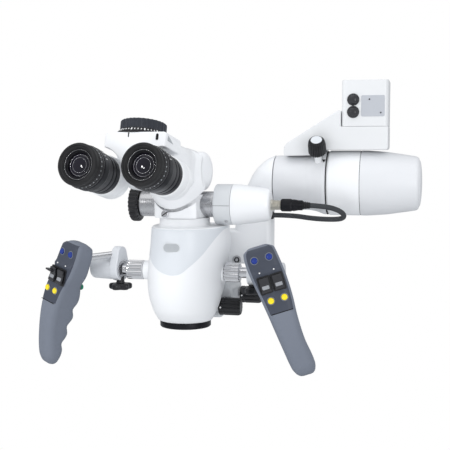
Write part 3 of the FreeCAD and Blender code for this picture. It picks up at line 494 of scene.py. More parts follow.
def smooth_row(rows: Sequence[Sequence[float]], z: float, level_start: bool = False) -> tuple[float, ...]:
    """Values between rows, on a smooth curve through each column.

    Args:
        rows: Rows of a height and its values, in order of height.
        z: The height.
        level_start: True for curves that start level.

    Returns:
        The values at the height.
    """
    way = 1 if rows[-1][0] > rows[0][0] else -1
    index = max((i for i, row in enumerate(rows[:-1]) if way * z >= way * row[0]), default=0)
    low, high = rows[index], rows[index + 1]
    span = high[0] - low[0]
    share = (z - low[0]) / span
    t2, t3 = share ** 2, share ** 3

    def slope(i: int, part: int) -> float:
        if i == 0 and level_start:
            return 0.0
        before, after = rows[max(i - 1, 0)], rows[min(i + 1, len(rows) - 1)]
        return (after[part] - before[part]) / (after[0] - before[0]) * span

    return tuple(low[part] * (2 * t3 - 3 * t2 + 1) + slope(index, part) * (t3 - 2 * t2 + share)
                 + high[part] * (3 * t2 - 2 * t3) + slope(index + 1, part) * (t3 - t2)
                 for part in range(1, len(low)))


# Mesh forms

def skin(form: Form, rings: Sequence[Sequence[bmesh.types.BMVert]], closed: bool = True) -> None:
    """Join rings with the same number of points; each closes on itself where `closed` is true."""
    for low, high in zip(rings, rings[1:]):
        count = len(low)
        for step in range(count if closed else count - 1):
            following = (step + 1) % count
            form.faces.new((low[step], low[following], high[following], high[step]))


def turned(profile: Profile, round_off: float = 0.8, steps: int = ROUND_STEPS,
           radius_at: RadiusAt | None = None) -> Form:
    """A form turned round Z.

    Args:
        profile: Radius and height pairs, from one end to the other; closed to a ring where
            neither end is on the axis.
        round_off: Rounding of the profile's corners.
        steps: Points round the axis.
        radius_at: Function of radius, height and angle that gives the local radius, for flutes.

    Returns:
        The form.
    """
    form = bmesh.new()
    rings = []
    for radius, height in rounded(profile, round_off):
        ring = []
        for step in range(steps):
            angle = math.tau * step / steps
            reach = radius_at(radius, height, angle) if radius_at else radius
            ring.append(form.verts.new((reach * math.cos(angle), reach * math.sin(angle), height)))
        rings.append(ring)
    hollow = len(profile) > 2 and min(profile[0][0], profile[-1][0]) > 0.01
    skin(form, rings + rings[:1] if hollow else rings)
    for ring, (radius, _) in ((rings[0], profile[0]), (rings[-1], profile[-1])):
        if radius > 0.01 and not hollow:
            form.faces.new(ring)
    return form


def lofted(sections: Sequence[Sequence[Point | Vector]]) -> Form:
    """A closed form through sections with the same number of points."""
    form = bmesh.new()
    rings = [[form.verts.new(point) for point in section] for section in sections]
    skin(form, rings)
    form.faces.new(rings[0])
    form.faces.new(rings[-1])
    return form


def extruded(outline: Profile, depth: float) -> Form:
    """A flat outline raised along Z, from Z = 0."""
    return lofted([[(x, y, height) for x, y in outline] for height in (0.0, depth)])


def tube_along(points: Sequence[Vector], radius: float, steps: int = 20) -> Form:
    """A round tube along points, with its frame carried along without twist."""
    last = len(points) - 1
    side = (points[1] - points[0]).orthogonal()
    sections = []
    for index, point in enumerate(points):
        tangent = (points[min(index + 1, last)] - points[max(index - 1, 0)]).normalized()
        side = (side - tangent * side.dot(tangent)).normalized()
        other = tangent.cross(side)
        sections.append([point + (side * math.cos(a) + other * math.sin(a)) * radius
                         for a in (math.tau * step / steps for step in range(steps))])
    return lofted(sections)


def moved(form: Form, origin: Sequence[float], turn: Matrix | None = None) -> Form:
    """The same form, turned and then moved."""
    form.transform(Matrix.Translation(Vector(origin)) @ (turn or Matrix.Identity(3)).to_4x4())
    return form


# Objects and what every sub-assembly can do

def link(name: str, data: bpy.types.ID) -> Piece:
    """A new object of the scene that shows this data."""
    made = bpy.data.objects.new(name, data)
    bpy.context.scene.collection.objects.link(made)
    return made


def new_object(name: str, form: Form, material: bpy.types.Material) -> Piece:
    """A new object of the scene with a form, which is freed, and one material."""
    data = bpy.data.meshes.new(name)
    form.to_mesh(data)
    form.free()
    data.materials.append(material)
    return link(name, data)


@dataclass
class Assembly:
    """A sub-assembly: pieces made in one local frame, most of them on one body."""

    body: str = ""
    place: Place = HEAD

    def solid(self, name: str, form: Form, look: Look, body: str = "", node: str = "", edge: float = 0.0,
              cuts: int = 3, angle: float = 30.0) -> None:
        """Add a piece that rides on a body.

        Args:
            name: The piece's name.
            form: Its form in local millimetres; it is freed.
            look: Its finish.
            body: The CAD body that carries it; the sub-assembly's own where empty.
            node: The CAD node that it replaces, or empty.
            edge: Rounding of its edges.
            cuts: Steps across the rounding.
            angle: Least angle of an edge that is rounded, in degrees.
        """
        bmesh.ops.remove_doubles(form, verts=form.verts, dist=1e-4)
        bmesh.ops.recalc_face_normals(form, faces=form.faces)
        form.transform(self.place.matrix())
        made = new_object(name, form, look.value.build())
        made.data.shade_smooth()
        made.data.set_sharp_from_angle(angle=SMOOTH_ANGLE)
        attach(made, body or self.body)
        if edge:
            bevel = made.modifiers.new("soft_edges", "BEVEL")
            bevel.width = edge * MM
            bevel.segments = cuts
            bevel.limit_method = "ANGLE"
            bevel.angle_limit = math.radians(angle)
            bevel.harden_normals = True
        if node:
            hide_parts(node)

    def lathe(self, name: str, profile: Profile, base: Sequence[float], way: Way | Sequence[float],
              look: Look, body: str = "", node: str = "", round_off: float = 0.8, steps: int = ROUND_STEPS,
              radius_at: RadiusAt | None = None) -> None:
        """Add a turned piece.

        Args:
            name: The piece's name.
            profile: Radius and height pairs from its base.
            base: The base's centre.
            way: The axis, from the base.
            look: Its finish.
            body: The CAD body that carries it, as in `solid`.
            node: The CAD node that it replaces, or empty.
            round_off: Rounding of the profile's corners.
            steps: Points round the axis.
            radius_at: Flutes, as in `turned`.
        """
        direction = Vector(way.value if isinstance(way, Way) else way)
        turn = direction.to_track_quat("Z", "Y").to_matrix()
        self.solid(name, moved(turned(profile, round_off, steps, radius_at), base, turn), look, body, node)

    def plate(self, name: str, outline: Profile, depth: float, origin: Sequence[float], turn: Matrix | None,
              look: Look, **options: object) -> None:
        """Add a raised outline.

        Args:
            name: The piece's name.
            outline: Corners in the outline's own plane.
            depth: How far it is raised along the turn's Z.
            origin: Where the outline's origin goes.
            turn: The turn of its plane, or None.
            look: Its finish.
            options: Further options of `solid`.
        """
        self.solid(name, moved(extruded(outline, depth), origin, turn), look, **options)


@dataclass
class Suspension(Assembly):
    """Post, bracket casting, balance cylinder and its end cap."""

    body: str = "suspension"
    post_x: float = 191.0
    post_half: float = 25.0
    post_top: float = 207.0
    post_foot: float = 157.1
    casting_top: float = 157.0
    casting_foot: float = 131.7
    front: float = 35.0
    back: float = 85.0
    sleeve_left: float = 91.2
    sleeve_radius: float = 30.5
    sleeve_length: float = 58.6
    band_left: float = 150.3
    band_radius: float = 36.0
    band_length: float = 36.0
    cap_left: float = 186.6
    shaft_radius: float = 20.0
    dome_x: float = 178.5
    dome_z: tuple[float, float] = (185.8, 172.5)
    pins: Profile = ((195.8, 186.0), (208.0, 171.6))
    knob_x: float = 141.0
    knob_lean: float = math.radians(42.0)
    knob_start: float = 46.0
    boss_start: float = 28.0
    arrow_x: float = 147.4
    arrow_lean: float = math.radians(44.0)

    def build(self) -> None:
        """Build every piece of the suspension."""
        self.build_bracket()
        self.build_cylinder()
        self.build_trim()
        self.build_knob()

    def axis(self, x: float) -> Point:
        """A point on the cylinder's axis."""
        return (x, SUSPENSION_Y, SUSPENSION_Z)

    def build_bracket(self) -> None:
        """Column, the casting below it and the gusset that runs out to the sleeve."""
        depth = self.back - self.front
        column = extruded(box_outline(2 * self.post_half, depth, 5.0, 8), self.post_top - self.post_foot)
        foot = (self.post_x, (self.front + self.back) / 2, self.post_foot)
        self.solid("post_column", moved(column, foot), Look.POST, edge=0.5, cuts=2)
        left, right = self.post_x - self.post_half, self.post_x + self.post_half
        corners = [(103.0, 125.0), (147.0, 126.0), (147.0, self.casting_foot), (right, self.casting_foot),
                   (right, self.casting_top), (left - 0.6, self.casting_top), (left - 0.6, 174.5),
                   (left - 4.0, 174.5), (102.5, 137.0)]
        self.plate("bracket_casting", rounded_outline(corners, [2, 1, 1, 3, 1, 1, 1.5, 4, 11]), depth,
                   (0, self.front, 0), FRONT_TO_BACK, Look.POST, edge=1.6, cuts=4)
        inner, radius, flare = self.shaft_radius, self.sleeve_radius, self.band_radius - 0.7
        profile = [(inner, 0.0), (radius, 0.0), (radius, 38.0), (radius + 1.4, 46.0), (flare, 55.0),
                   (flare, self.sleeve_length), (inner, self.sleeve_length)]
        self.lathe("balance_sleeve", profile, self.axis(self.sleeve_left), Way.X, Look.SLEEVE,
                   node="post_bracket", round_off=2.0)

    def build_cylinder(self) -> None:
        """The turning band and the tapered end cap, with a near black ring of painted shade in the seam
        before each.
        """
        inner, radius, length = self.shaft_radius, self.band_radius, self.band_length
        band = [(inner + 0.3, 0.0), (radius - 2.0, 0.0), (radius, 2.2), (radius, length - 0.5),
                (radius - 0.5, length), (inner + 0.3, length)]
        self.lathe("balance_band", band, self.axis(self.band_left), Way.X, Look.WHITE, "balance_ring",
                   "balance_ring", round_off=0.5)
        # Painted shade: a near black ring set into each seam where the gap's shadow falls
        seam = [(21.0, 0.0), (radius - 0.5, 0.0), (radius - 0.5, 0.5), (21.0, 0.5)]
        for index, x in enumerate((self.band_left - 0.6, self.cap_left - 0.4)):
            self.lathe(f"cylinder_seam_shade_{index}", seam, self.axis(x), Way.X, Look.BLACK_AND_SHADE, round_off=0.05)
        cap = [(inner, 0.0), (radius - 0.5, 0.0), (radius, 0.5), (radius, 8.0), (radius - 1.5, 28.0),
               (radius - 4.4, 47.5), (29.6, 60.0), (27.8, 62.4)] + dome(25.4, 63.0, 3.0)
        self.lathe("balance_cap", cap, self.axis(self.cap_left), Way.X, Look.SLEEVE, node="end_cap",
                   round_off=3.0, steps=96)

    def build_trim(self) -> None:
        """Glossy caps, bare plate with its two pins, and the arrow by the scale."""
        cap = [(6.3, -0.5), (6.3, 1.2), (5.7, 2.0)] + dome(5.0, 2.0, 2.9)
        washer = [(6.6, -0.5), (6.6, 0.3), (6.0, 0.4)]
        for index, z in enumerate(self.dome_z):
            base = (self.dome_x, self.front, z)
            self.lathe(f"post_cap_{index}", cap, base, Way.MINUS_Y, Look.GLOSS,
                       node="" if index else "post_caps", round_off=0.5, steps=48)
            self.lathe(f"post_cap_washer_{index}", washer, base, Way.MINUS_Y, Look.KNOB, round_off=0.1,
                       steps=48)
        self.plate("bare_plate", box_outline(25.0, 22.6, 1.4), 0.5, (199.6, self.front + 0.1, 179.0),
                   FACING_FRONT, Look.PLATE, edge=0.15)
        pin = [(0.75, 0.0), (0.75, 0.7), (0.3, 0.9), (0.0, 0.9)]
        for index, (x, z) in enumerate(self.pins):
            self.lathe(f"plate_pin_{index}", pin, (x, self.front - 0.3, z), Way.MINUS_Y, Look.BLACK_AND_SHADE,
                       round_off=0.1, steps=20)
        angle, reach = self.arrow_lean, self.band_radius - 0.6
        spot = (self.arrow_x, SUSPENSION_Y - reach * math.cos(angle), SUSPENSION_Z + reach * math.sin(angle))
        self.plate("scale_arrow", [(-2.0, 1.9), (0.0, -2.2), (2.0, 1.9)], 0.5, spot,
                   Matrix.Rotation(-angle, 3, "X") @ FACING_FRONT, Look.BLACK_AND_SHADE)

    def build_knob(self) -> None:
        """The ribbed friction knob with its pale cap, on its boss."""
        way = Vector((0.0, -math.sin(self.knob_lean), math.cos(self.knob_lean)))
        centre = Vector(self.axis(self.knob_x))
        self.lathe("friction_boss", [(3.8, 0.0), (3.8, 17.6), (0.0, 17.6)], centre + way * self.boss_start,
                   way, Look.WHITE, round_off=2.0, steps=48)
        base = centre + way * self.knob_start
        grip = [(3.0, 0.0), (9.2, 0.0), (9.9, 1.2), (9.6, 11.0), (8.9, 15.6), (7.2, 17.6), (5.6, 17.9),
                (0.0, 17.4)]
        self.lathe("friction_knob_grip", grip, base, way, Look.KNOB, "friction_knob", "friction_knob",
                   round_off=1.4, steps=192, radius_at=flutes(24, 0.7, 2.0))
        self.lathe("friction_knob_cap", [(6.1, 17.2), (6.1, 17.95), (5.2, 18.0), (0.0, 18.0)], base, way,
                   Look.PANEL, "friction_knob", round_off=0.2, steps=48)


@dataclass
class CarrierArm(Assembly):
    """The cast elbow between the suspension and the head."""

    body: str = "arm"
    face: float = 90.6
    right: float = 87.0
    front: float = 44.0
    back: float = 80.0
    pivot_z: float = 64.0
    outer: Profile = ((0.0, 61.5), (8.0, 58.9), (18.0, 54.0), (28.0, 49.3), (44.0, 42.0), (60.0, 40.0),
                      (90.0, 39.8))
    leg: tuple[Point, ...] = ((54.0, 47.6, 0.0), (44.0, 45.0, 0.0), (34.0, 44.0, 0.0), (12.0, 44.0, 0.0),
                              (6.0, 44.0, 1.2), (3.8, 44.0, 3.5), (3.0, 44.0, 7.0))
    hub_radius: float = 30.5
    shaft_gap: float = 0.5
    leg_depth: float = 18.0
    leg_shift: float = 2.0
    foot: float = 3.0
    eye_z: float = 22.0
    eye_radius: float = 19.0
    bar_top: float = 41.0
    screw: tuple[float, float] = (48.4, 7.4)

    def build(self) -> None:
        """Elbow, leg, eye and the clamp screw."""
        self.solid("arm_elbow", self.elbow(), Look.WHITE, node="carrier_arm", edge=0.4, cuts=2)
        eye, end = self.eye_radius, self.right - 12
        corners = [(-eye, self.eye_z - eye), (end, self.foot), (end, self.bar_top), (-eye, self.eye_z + eye)]
        self.plate("arm_bar", rounded_outline(corners, [eye, 6, 6, eye], 14), self.back - self.front,
                   (0, self.front, 0), FRONT_TO_BACK, Look.WHITE, edge=3.0, cuts=4)
        self.lathe("arm_eye_cap", [(11.5, -0.5), (11.5, 0.8), (10.5, 1.4), (3.2, 1.4), (2.6, 0.6)],
                   (0, self.back, self.eye_z), Way.Y, Look.SILVER, round_off=0.4)
        screw = (self.screw[0], self.front - 0.2, self.screw[1])
        self.lathe("arm_screw_rim", [(5.2, -0.5), (5.2, 0.5), (4.2, 0.7), (3.9, 0.1), (0.0, -0.2)], screw,
                   Way.MINUS_Y, Look.STEEL, round_off=0.2, steps=40)
        self.lathe("arm_screw", [(3.5, -0.4), (3.5, 0.3), (2.0, 0.5), (1.9, -0.3), (0.0, -0.3)], screw,
                   Way.MINUS_Y, Look.KNOB, round_off=0.15, steps=6)

    def elbow(self) -> Form:
        """Sections that turn from the hub's circle to the leg's rounded rectangle."""
        sections = []
        steps = 22
        outline = rounded(self.outer, 9.0, 5)
        for share in (step / steps for step in range(steps + 1)):
            turn = math.pi / 2 * share
            ease = share * share * (3 - 2 * share)
            inner = self.shaft_gap + (self.face - self.right - self.shaft_gap) * ease
            outer = height_on(outline, math.degrees(turn))
            depth = self.hub_radius + (self.leg_depth - self.hub_radius) * ease
            ray = Vector((-math.sin(turn), 0.0, math.cos(turn)))
            start = Vector((self.face, SUSPENSION_Y + self.leg_shift * ease, self.pivot_z))
            start += ray * (outer + inner) / 2
            section = superellipse((outer - inner) / 2, depth, 2.0 + 4.0 * ease, 64)
            sections.append([start + ray * across + Vector((0.0, deep, 0.0)) for across, deep in section])
        last = sections[-1]
        edge = self.face - self.outer[-1][1]
        middle = (self.front + self.back) / 2
        for z, left, shrink in self.leg:
            keep_x = (self.right - left - 2 * shrink) / (self.right - edge)
            keep_y = 1 - shrink / (self.back - middle)
            sections.append([(left + shrink + (x - edge) * keep_x, middle + (y - middle) * keep_y, z)
                             for x, y, _ in last])
        return lofted(sections)


@dataclass
class HeadBody(Assembly):
    """The egg shaped body with its grey front panel, badge, neck and objective.

    Its rows hold a height, the half width, the front and back depth, the power of the back's
    curve and the shift to the right.
    """

    body: str = "head"
    rows: tuple[tuple[float, ...], ...] = ((-54.5, 29.5, 29.6, 29.4, 2.0, 0.0),
                                           (-42.0, 35.2, 43.0, 36.0, 2.1, 0.2),
                                           (-24.0, 39.8, 53.0, 40.0, 2.4, 0.6),
                                           (0.0, 41.6, 59.5, 41.0, 3.0, 2.0),
                                           (26.0, 41.2, 61.0, 42.0, 3.8, 5.3),
                                           (50.0, 39.6, 59.0, 41.5, 4.6, 5.5))
    panel_edge: Profile = ((-60.0, 27.0), (-38.0, 20.5), (-19.0, 6.0), (-3.0, 1.2), (8.0, 2.6), (24.0, 19.0),
                           (36.0, 40.0), (46.0, 58.0))
    panel_span: tuple[float, float] = (math.radians(-183.0), math.radians(2.0))
    proud: float = 0.35
    rim: float = 1.6
    columns: int = 120
    levels: int = 46
    badge_angle: float = math.radians(-95.8)
    badge_z: float = 30.6
    neck: tuple[Point, ...] = ((29.0, 39.0, 49.5), (28.2, 38.2, 50.6), (27.3, 37.3, 51.5),
                               (27.0, 37.0, 53.0), (27.0, 37.0, 57.6), (26.4, 36.4, 58.4))
    grip_z: float = -1.0
    boss_start: float = 34.0
    boss_radius: float = 10.5
    boss_ends: tuple[float, float] = (46.8, 44.4)
    nut_ends: tuple[float, float] = (66.2, 61.7)
    stub_radius: float = 6.1
    objective_radius: float = 28.0
    objective_height: float = 7.1
    lens_radius: float = 21.5

    def build(self) -> None:
        """Build every piece of the body."""
        self.build_shell()
        self.build_panel()
        self.build_neck()
        self.build_objective()
        self.build_bosses()

    def surface(self, angle: float, z: float, out: float = 0.0) -> Point:
        """A point on the body.

        Args:
            angle: Angle round the optical axis, 0 at +X and negative in front.
            z: Height.
            out: Distance outside the surface.

        Returns:
            The point.
        """
        half, front, back, power, shift = smooth_row(self.rows, z)
        c, s = math.cos(angle), math.sin(angle)
        if s <= 0:
            x, y = half * c, front * s
        else:
            x, y = half * math.copysign(abs(c) ** (2 / power), c), back * s ** (2 / power)
        grow = 1 + out / math.hypot(x, y)
        return (x * grow + shift, y * grow, z)

    def build_shell(self) -> None:
        """The white shell with rounded rims, and the boss behind it that tilts in the arm's eye."""
        foot, top = self.rows[0][0], self.rows[-1][0]
        levels = [(foot, -1.2), (foot + 0.4, -0.4), (foot + 1.2, 0.0)]
        wall = top - foot - 2.8
        levels += [(foot + 1.2 + wall * step / self.levels, 0.0) for step in range(1, self.levels)]
        levels += [(top - 1.6 + self.rim * math.sin(a), -self.rim * (1 - math.cos(a)))
                   for a in (math.pi / 2 * step / 5 for step in range(6))]
        sections = [[self.surface(math.tau * step / self.columns, z, out) for step in range(self.columns)]
                    for z, out in levels]
        self.solid("body_casting", lofted(sections), Look.WHITE, node="body_shell")
        self.lathe("tilt_boss", [(8.3, 0.0), (15.0, 0.0), (15.0, 9.0), (13.5, 9.7), (8.3, 9.7)],
                   (0, 34, 22.0), Way.Y, Look.WHITE)

    def build_panel(self) -> None:
        """The grey panel, a thin skin proud of the shell with a curved edge, and the oval badge."""
        edge = rounded(self.panel_edge, 9.0, 6)
        top = self.rows[-1][0] - self.rim
        form = bmesh.new()
        columns = []
        start, end = self.panel_span
        count, levels = 150, 24
        for step in range(count + 1):
            angle = start + (end - start) * step / count
            low = self.edge_height(edge, angle, top)
            points = [(low, -0.3)]
            points += [(low + (top - low) * level / levels, self.proud) for level in range(levels + 1)]
            points += [(top + 0.9, -0.35)]
            columns.append([form.verts.new(self.surface(angle, z, out)) for z, out in points])
        skin(form, columns, closed=False)
        self.solid("grey_panel", form, Look.PANEL, node="front_panel")
        x, y, z = self.surface(self.badge_angle, self.badge_z, self.proud)
        self.plate("oval_badge", box_outline(16.8, 8.4, 4.1, 10), 1.0, (x, y + 0.35, z), FACING_FRONT,
                   Look.BADGE, edge=0.4)
        self.plate("badge_rim", box_outline(18.2, 9.8, 4.8, 10), 0.7, (x, y + 0.3, z), FACING_FRONT,
                   Look.GREY, edge=0.3, cuts=2)

    def edge_height(self, edge: Profile, angle: float, top: float) -> float:
        """Height of the panel's edge at an angle, found by stepping towards it.

        Args:
            edge: The edge seen from in front, from the body's middle.
            angle: Angle round the optical axis.
            top: The panel's top, that the edge stays below.

        Returns:
            The height.
        """
        low = 10.0
        for _ in range(30):
            level = min(low, top)
            across = self.surface(angle, level)[0] - smooth_row(self.rows, level)[-1]
            low += (height_on(edge, across) - low) * 0.5
        return min(low, top - 0.05)

    def build_neck(self) -> None:
        """The neck above the body and the beam splitter's cylinder."""
        turns = [(math.cos(a), math.sin(a)) for a in (math.tau * step / 96 for step in range(96))]
        sections = [[(half * c, (half if s > 0 else front) * s, z) for c, s in turns]
                    for half, front, z in self.neck]
        self.solid("body_neck", lofted(sections), Look.WHITE)
        drum = [(20.0, 0.0), (24.0, 0.0), (24.0, 25.2), (22.0, 25.4), (0.0, 25.4)]
        self.lathe("splitter_drum", drum, (0, 0, 58.5), Way.Z, Look.WHITE, node="splitter_housing",
                   round_off=1.0)

    def build_objective(self) -> None:
        """Black objective ring with its coated lens."""
        radius, height, glass = self.objective_radius, self.objective_height, self.lens_radius
        base = (0, 0, self.rows[0][0] - height)
        ring = [(glass, 1.6), (glass + 1.2, 0.1), (radius - 1.0, 0.0), (radius, 1.0), (radius, height - 1.2),
                (radius - 0.5, height - 0.8), (radius - 0.5, height)]
        self.lathe("objective_mount", ring, base, Way.Z, Look.ANODISED, node="objective_ring", round_off=0.4,
                   steps=120)
        lens = [(glass, height - 1.5), (glass, 2.6), (19.0, 2.1), (12.0, 1.3), (5.0, 1.02), (0.0, 1.0)]
        self.lathe("objective_glass", lens, base, Way.Z, Look.LENS, node="objective_lens", round_off=0.3)

    def build_bosses(self) -> None:
        """White collars that the handgrips' stubs enter, with their nuts."""
        radius, bore, start, z = self.boss_radius, self.stub_radius, self.boss_start, self.grip_z
        for (name, side), end, nut_end in zip(SIDES, self.boss_ends, self.nut_ends):
            way = Way.out(side)
            length = end - start
            collar = [(radius + 2.5, 0.0), (radius + 1.0, 3.0), (radius, 6.5), (radius, length - 0.8),
                      (radius - 0.8, length), (bore, length)]
            self.lathe(f"{name}_collar", collar, (side * start, 0, z), way, Look.WHITE, round_off=2.0)
            length = nut_end - end - 0.3
            nut = [(bore, 0.0), (9.8, 0.0), (10.7, 0.8), (10.7, length - 0.8), (9.8, length), (bore, length)]
            self.lathe(f"{name}_nut", nut, (side * (end + 0.3), 0, z), way, Look.CHROME, f"{name}_grip_nut",
                       f"{name}_grip_nut", round_off=0.3, steps=224, radius_at=flutes(14, 1.1, 2.0))
            self.lathe(f"{name}_nut_washer", [(bore, 0.0), (9.0, 0.0), (9.0, 0.25), (bore, 0.25)],
                       (side * end, 0, z), way, Look.BLACK_AND_SHADE, round_off=0.1, steps=40)


@dataclass
class LampHousing(Assembly):
    """The casting behind the body that takes the light guide, and its two knobs."""

    body: str = "head"
    front: float = 28.0
    back: float = 86.0
    knob_radius: float = 9.8
    knob_length: float = 25.0
    knobs: tuple[tuple[str, Point], ...] = (("filter_knob", (33.8, 20.0, -42.0)),
                                            ("diaphragm_knob", (47.5, 72.0, -36.0)))

    def build(self) -> None:
        """Casting and knobs."""
        corners = [(-26.0, -57.0), (34.0, -57.0), (46.0, -39.0), (46.0, -22.0), (12.0, -3.0), (-12.0, -3.0),
                   (-36.0, -22.0), (-36.0, -47.0)]
        # Painted shade: the grey coat stands for the rear housing's side in shadow behind the white body
        self.plate("lamp_casting", rounded_outline(corners, 7.0), self.back - self.front, (0, self.front, 0),
                   FRONT_TO_BACK, Look.GREY, node="rear_housing", edge=3.5, cuts=4)
        for name, spot in self.knobs:
            self.build_knob(name, *spot)

    def build_knob(self, name: str, x: float, y: float, z: float) -> None:
        """One black fluted knob with a white index dot.

        Args:
            name: The CAD node and body of the knob.
            x: Centre of its inner face, across.
            y: The same, in depth.
            z: The same, in height.
        """
        radius, length = self.knob_radius, self.knob_length
        grip = [(3.0, 0.0), (radius - 1.0, 0.0), (radius, 1.0), (radius, 4.6), (radius - 0.6, 5.4),
                (radius, 6.2), (radius, length - 3.0), (radius - 0.8, length - 0.8), (radius - 2.6, length),
                (0.0, length - 0.3)]
        self.lathe(f"{name}_grip", grip, (x, y, z), Way.X, Look.KNOB, name, name, steps=192,
                   radius_at=flutes(12, 0.9, 5.0))
        self.lathe(f"{name}_neck", [(5.6, 0.0), (5.6, 5.0)], (x - 4.6, y, z), Way.X, Look.STEEL,
                   round_off=0.2, steps=40)
        self.lathe(f"{name}_dot", [(1.0, 0.0), (1.0, 0.55), (0.6, 0.7), (0.0, 0.7)],
                   (x + 3.0, y - radius + 0.35, z), Way.MINUS_Y, Look.MARK, name, round_off=0.1, steps=24)


@dataclass
class PortsAndCamera(Assembly):
    """The two side ports, the focus ring, the camera and its plug."""

    body: str = "head"
    axis_z: float = 72.8
    port_start: float = 20.0
    port_radius: float = 14.0
    left_end: float = 49.6
    knob_radius: float = 19.6
    knob_length: float = 10.3
    focus_left: float = 35.3
    focus_length: float = 18.7
    focus_radius: float = 22.0
    focus_bore: float = 10.1
    screw_angle: float = math.radians(52.0)
    camera_left: float = 54.3
    camera_length: float = 40.7

    def build(self) -> None:
        """Build both ports and what they carry."""
        start, radius = self.port_start, self.port_radius
        self.lathe("left_port", [(8.0, 0.0), (radius, 0.0), (radius, 28.8), (radius - 0.8, 29.6),
                                 (4.1, 29.6)], (-start, 0, self.axis_z), Way.MINUS_X, Look.STEEL,
                   node="port_tubes")
        self.lathe("right_port", [(8.0, 0.0), (radius, 0.0), (radius, 15.0), (10.0, 15.0), (10.0, 34.0)],
                   (start, 0, self.axis_z), Way.X, Look.STEEL, round_off=0.3)
        big, deep = self.knob_radius, self.knob_length
        knob = [(4.0, 0.0), (big - 2.0, 0.0), (big, 1.6), (big, deep - 1.6), (big - 1.6, deep),
                (big - 4.5, deep), (big - 5.5, deep - 0.7), (0.0, deep - 0.7)]
        self.lathe("port_knob_grip", knob, (-self.left_end - 0.3, 0, self.axis_z), Way.MINUS_X, Look.KNOB,
                   "port_knob", "port_knob", steps=240, radius_at=flutes(24, 1.2, 1.6))
        self.build_focus_ring()
        self.build_camera()
        self.build_plug(self.camera_left + self.camera_length)

    def build_focus_ring(self) -> None:
        """Grey split ring with its clamping screw."""
        radius, length, left, bore = self.focus_radius, self.focus_length, self.focus_left, self.focus_bore
        ring = [(bore, 0.0), (radius - 0.9, 0.0), (radius, 0.9), (radius, length - 0.3),
                (radius - 0.3, length), (bore, length)]
        self.lathe("focus_grip", ring, (left, 0, self.axis_z), Way.X, Look.GREY, "focus_ring", "focus_ring",
                   round_off=0.4, steps=96)
        # Painted shade: a near black strip laid over the ring's split, where only the gap's shadow falls
        self.plate("focus_split_shade", box_outline(length - 0.4, 0.35, 0.1, 2), 0.5,
                   (left + length / 2, -radius + 0.42, self.axis_z - 0.3), FACING_FRONT, Look.BLACK_AND_SHADE,
                   body="focus_ring")
        out = (0.0, -math.cos(self.screw_angle), -math.sin(self.screw_angle))
        spot = (left + 13.5, out[1] * (radius - 0.4), self.axis_z + out[2] * (radius - 0.4))
        self.lathe("focus_screw", [(2.0, 0.0), (2.0, 0.7), (1.4, 0.9), (0.9, 0.4), (0.0, 0.4)], spot, out,
                   Look.STEEL, "focus_ring", round_off=0.15, steps=24)

    def build_camera(self) -> None:
        """White tapering camera."""
        radius, length = self.focus_radius, self.camera_length
        casting = [(18.0, 0.0), (radius - 0.3, 0.0), (radius, 0.3), (radius, 6.0), (18.4, 31.0),
                   (17.6, length - 5.0), (16.2, length - 1.2), (14.0, length), (0.0, length)]
        self.lathe("camera_casting", casting, (self.camera_left, 0, self.axis_z), Way.X, Look.WHITE,
                   node="camera_housing", round_off=2.4, steps=96)

    def build_plug(self, end: float) -> None:
        """The ridged plug in the camera's end, with its boot and strain relief.

        Args:
            end: Where the camera ends.
        """
        base = (end, 0, self.axis_z)
        nose = [(5.9, 0.0), (5.9, 2.6), (4.9, 3.0)]
        for start in (3.4 + ridge * 1.5 for ridge in range(5)):
            nose += [(4.9, start), (5.4, start + 0.4), (5.4, start + 0.9), (4.9, start + 1.3)]
        nose += [(4.9, 11.0), (3.0, 11.0)]
        self.lathe("plug_nose", nose, base, Way.X, Look.BRASS, node="camera_plug", round_off=0.2, steps=48)
        boot = [(3.0, 11.0), (6.1, 11.0), (6.8, 12.2), (6.8, 21.5), (6.0, 23.0), (6.4, 24.5), (6.0, 26.5),
                (5.4, 29.5), (5.4, 34.0), (3.2, 34.0)]
        self.lathe("plug_boot", boot, base, Way.X, Look.ANODISED, round_off=0.6, steps=144,
                   radius_at=flutes(24, 0.35))
        relief = [(3.0, 30.0)]
        for rib in range(6):
            start, size = 30.0 + rib * 2.0, 5.0 - rib * 0.28
            relief += [(size - 0.9, start), (size, start + 0.3), (size, start + 1.2),
                       (size - 0.9, start + 1.5)]
        relief += [(3.0, 42.0)]
        self.lathe("plug_relief", relief, base, Way.X, Look.RUBBER, round_off=0.25, steps=40)


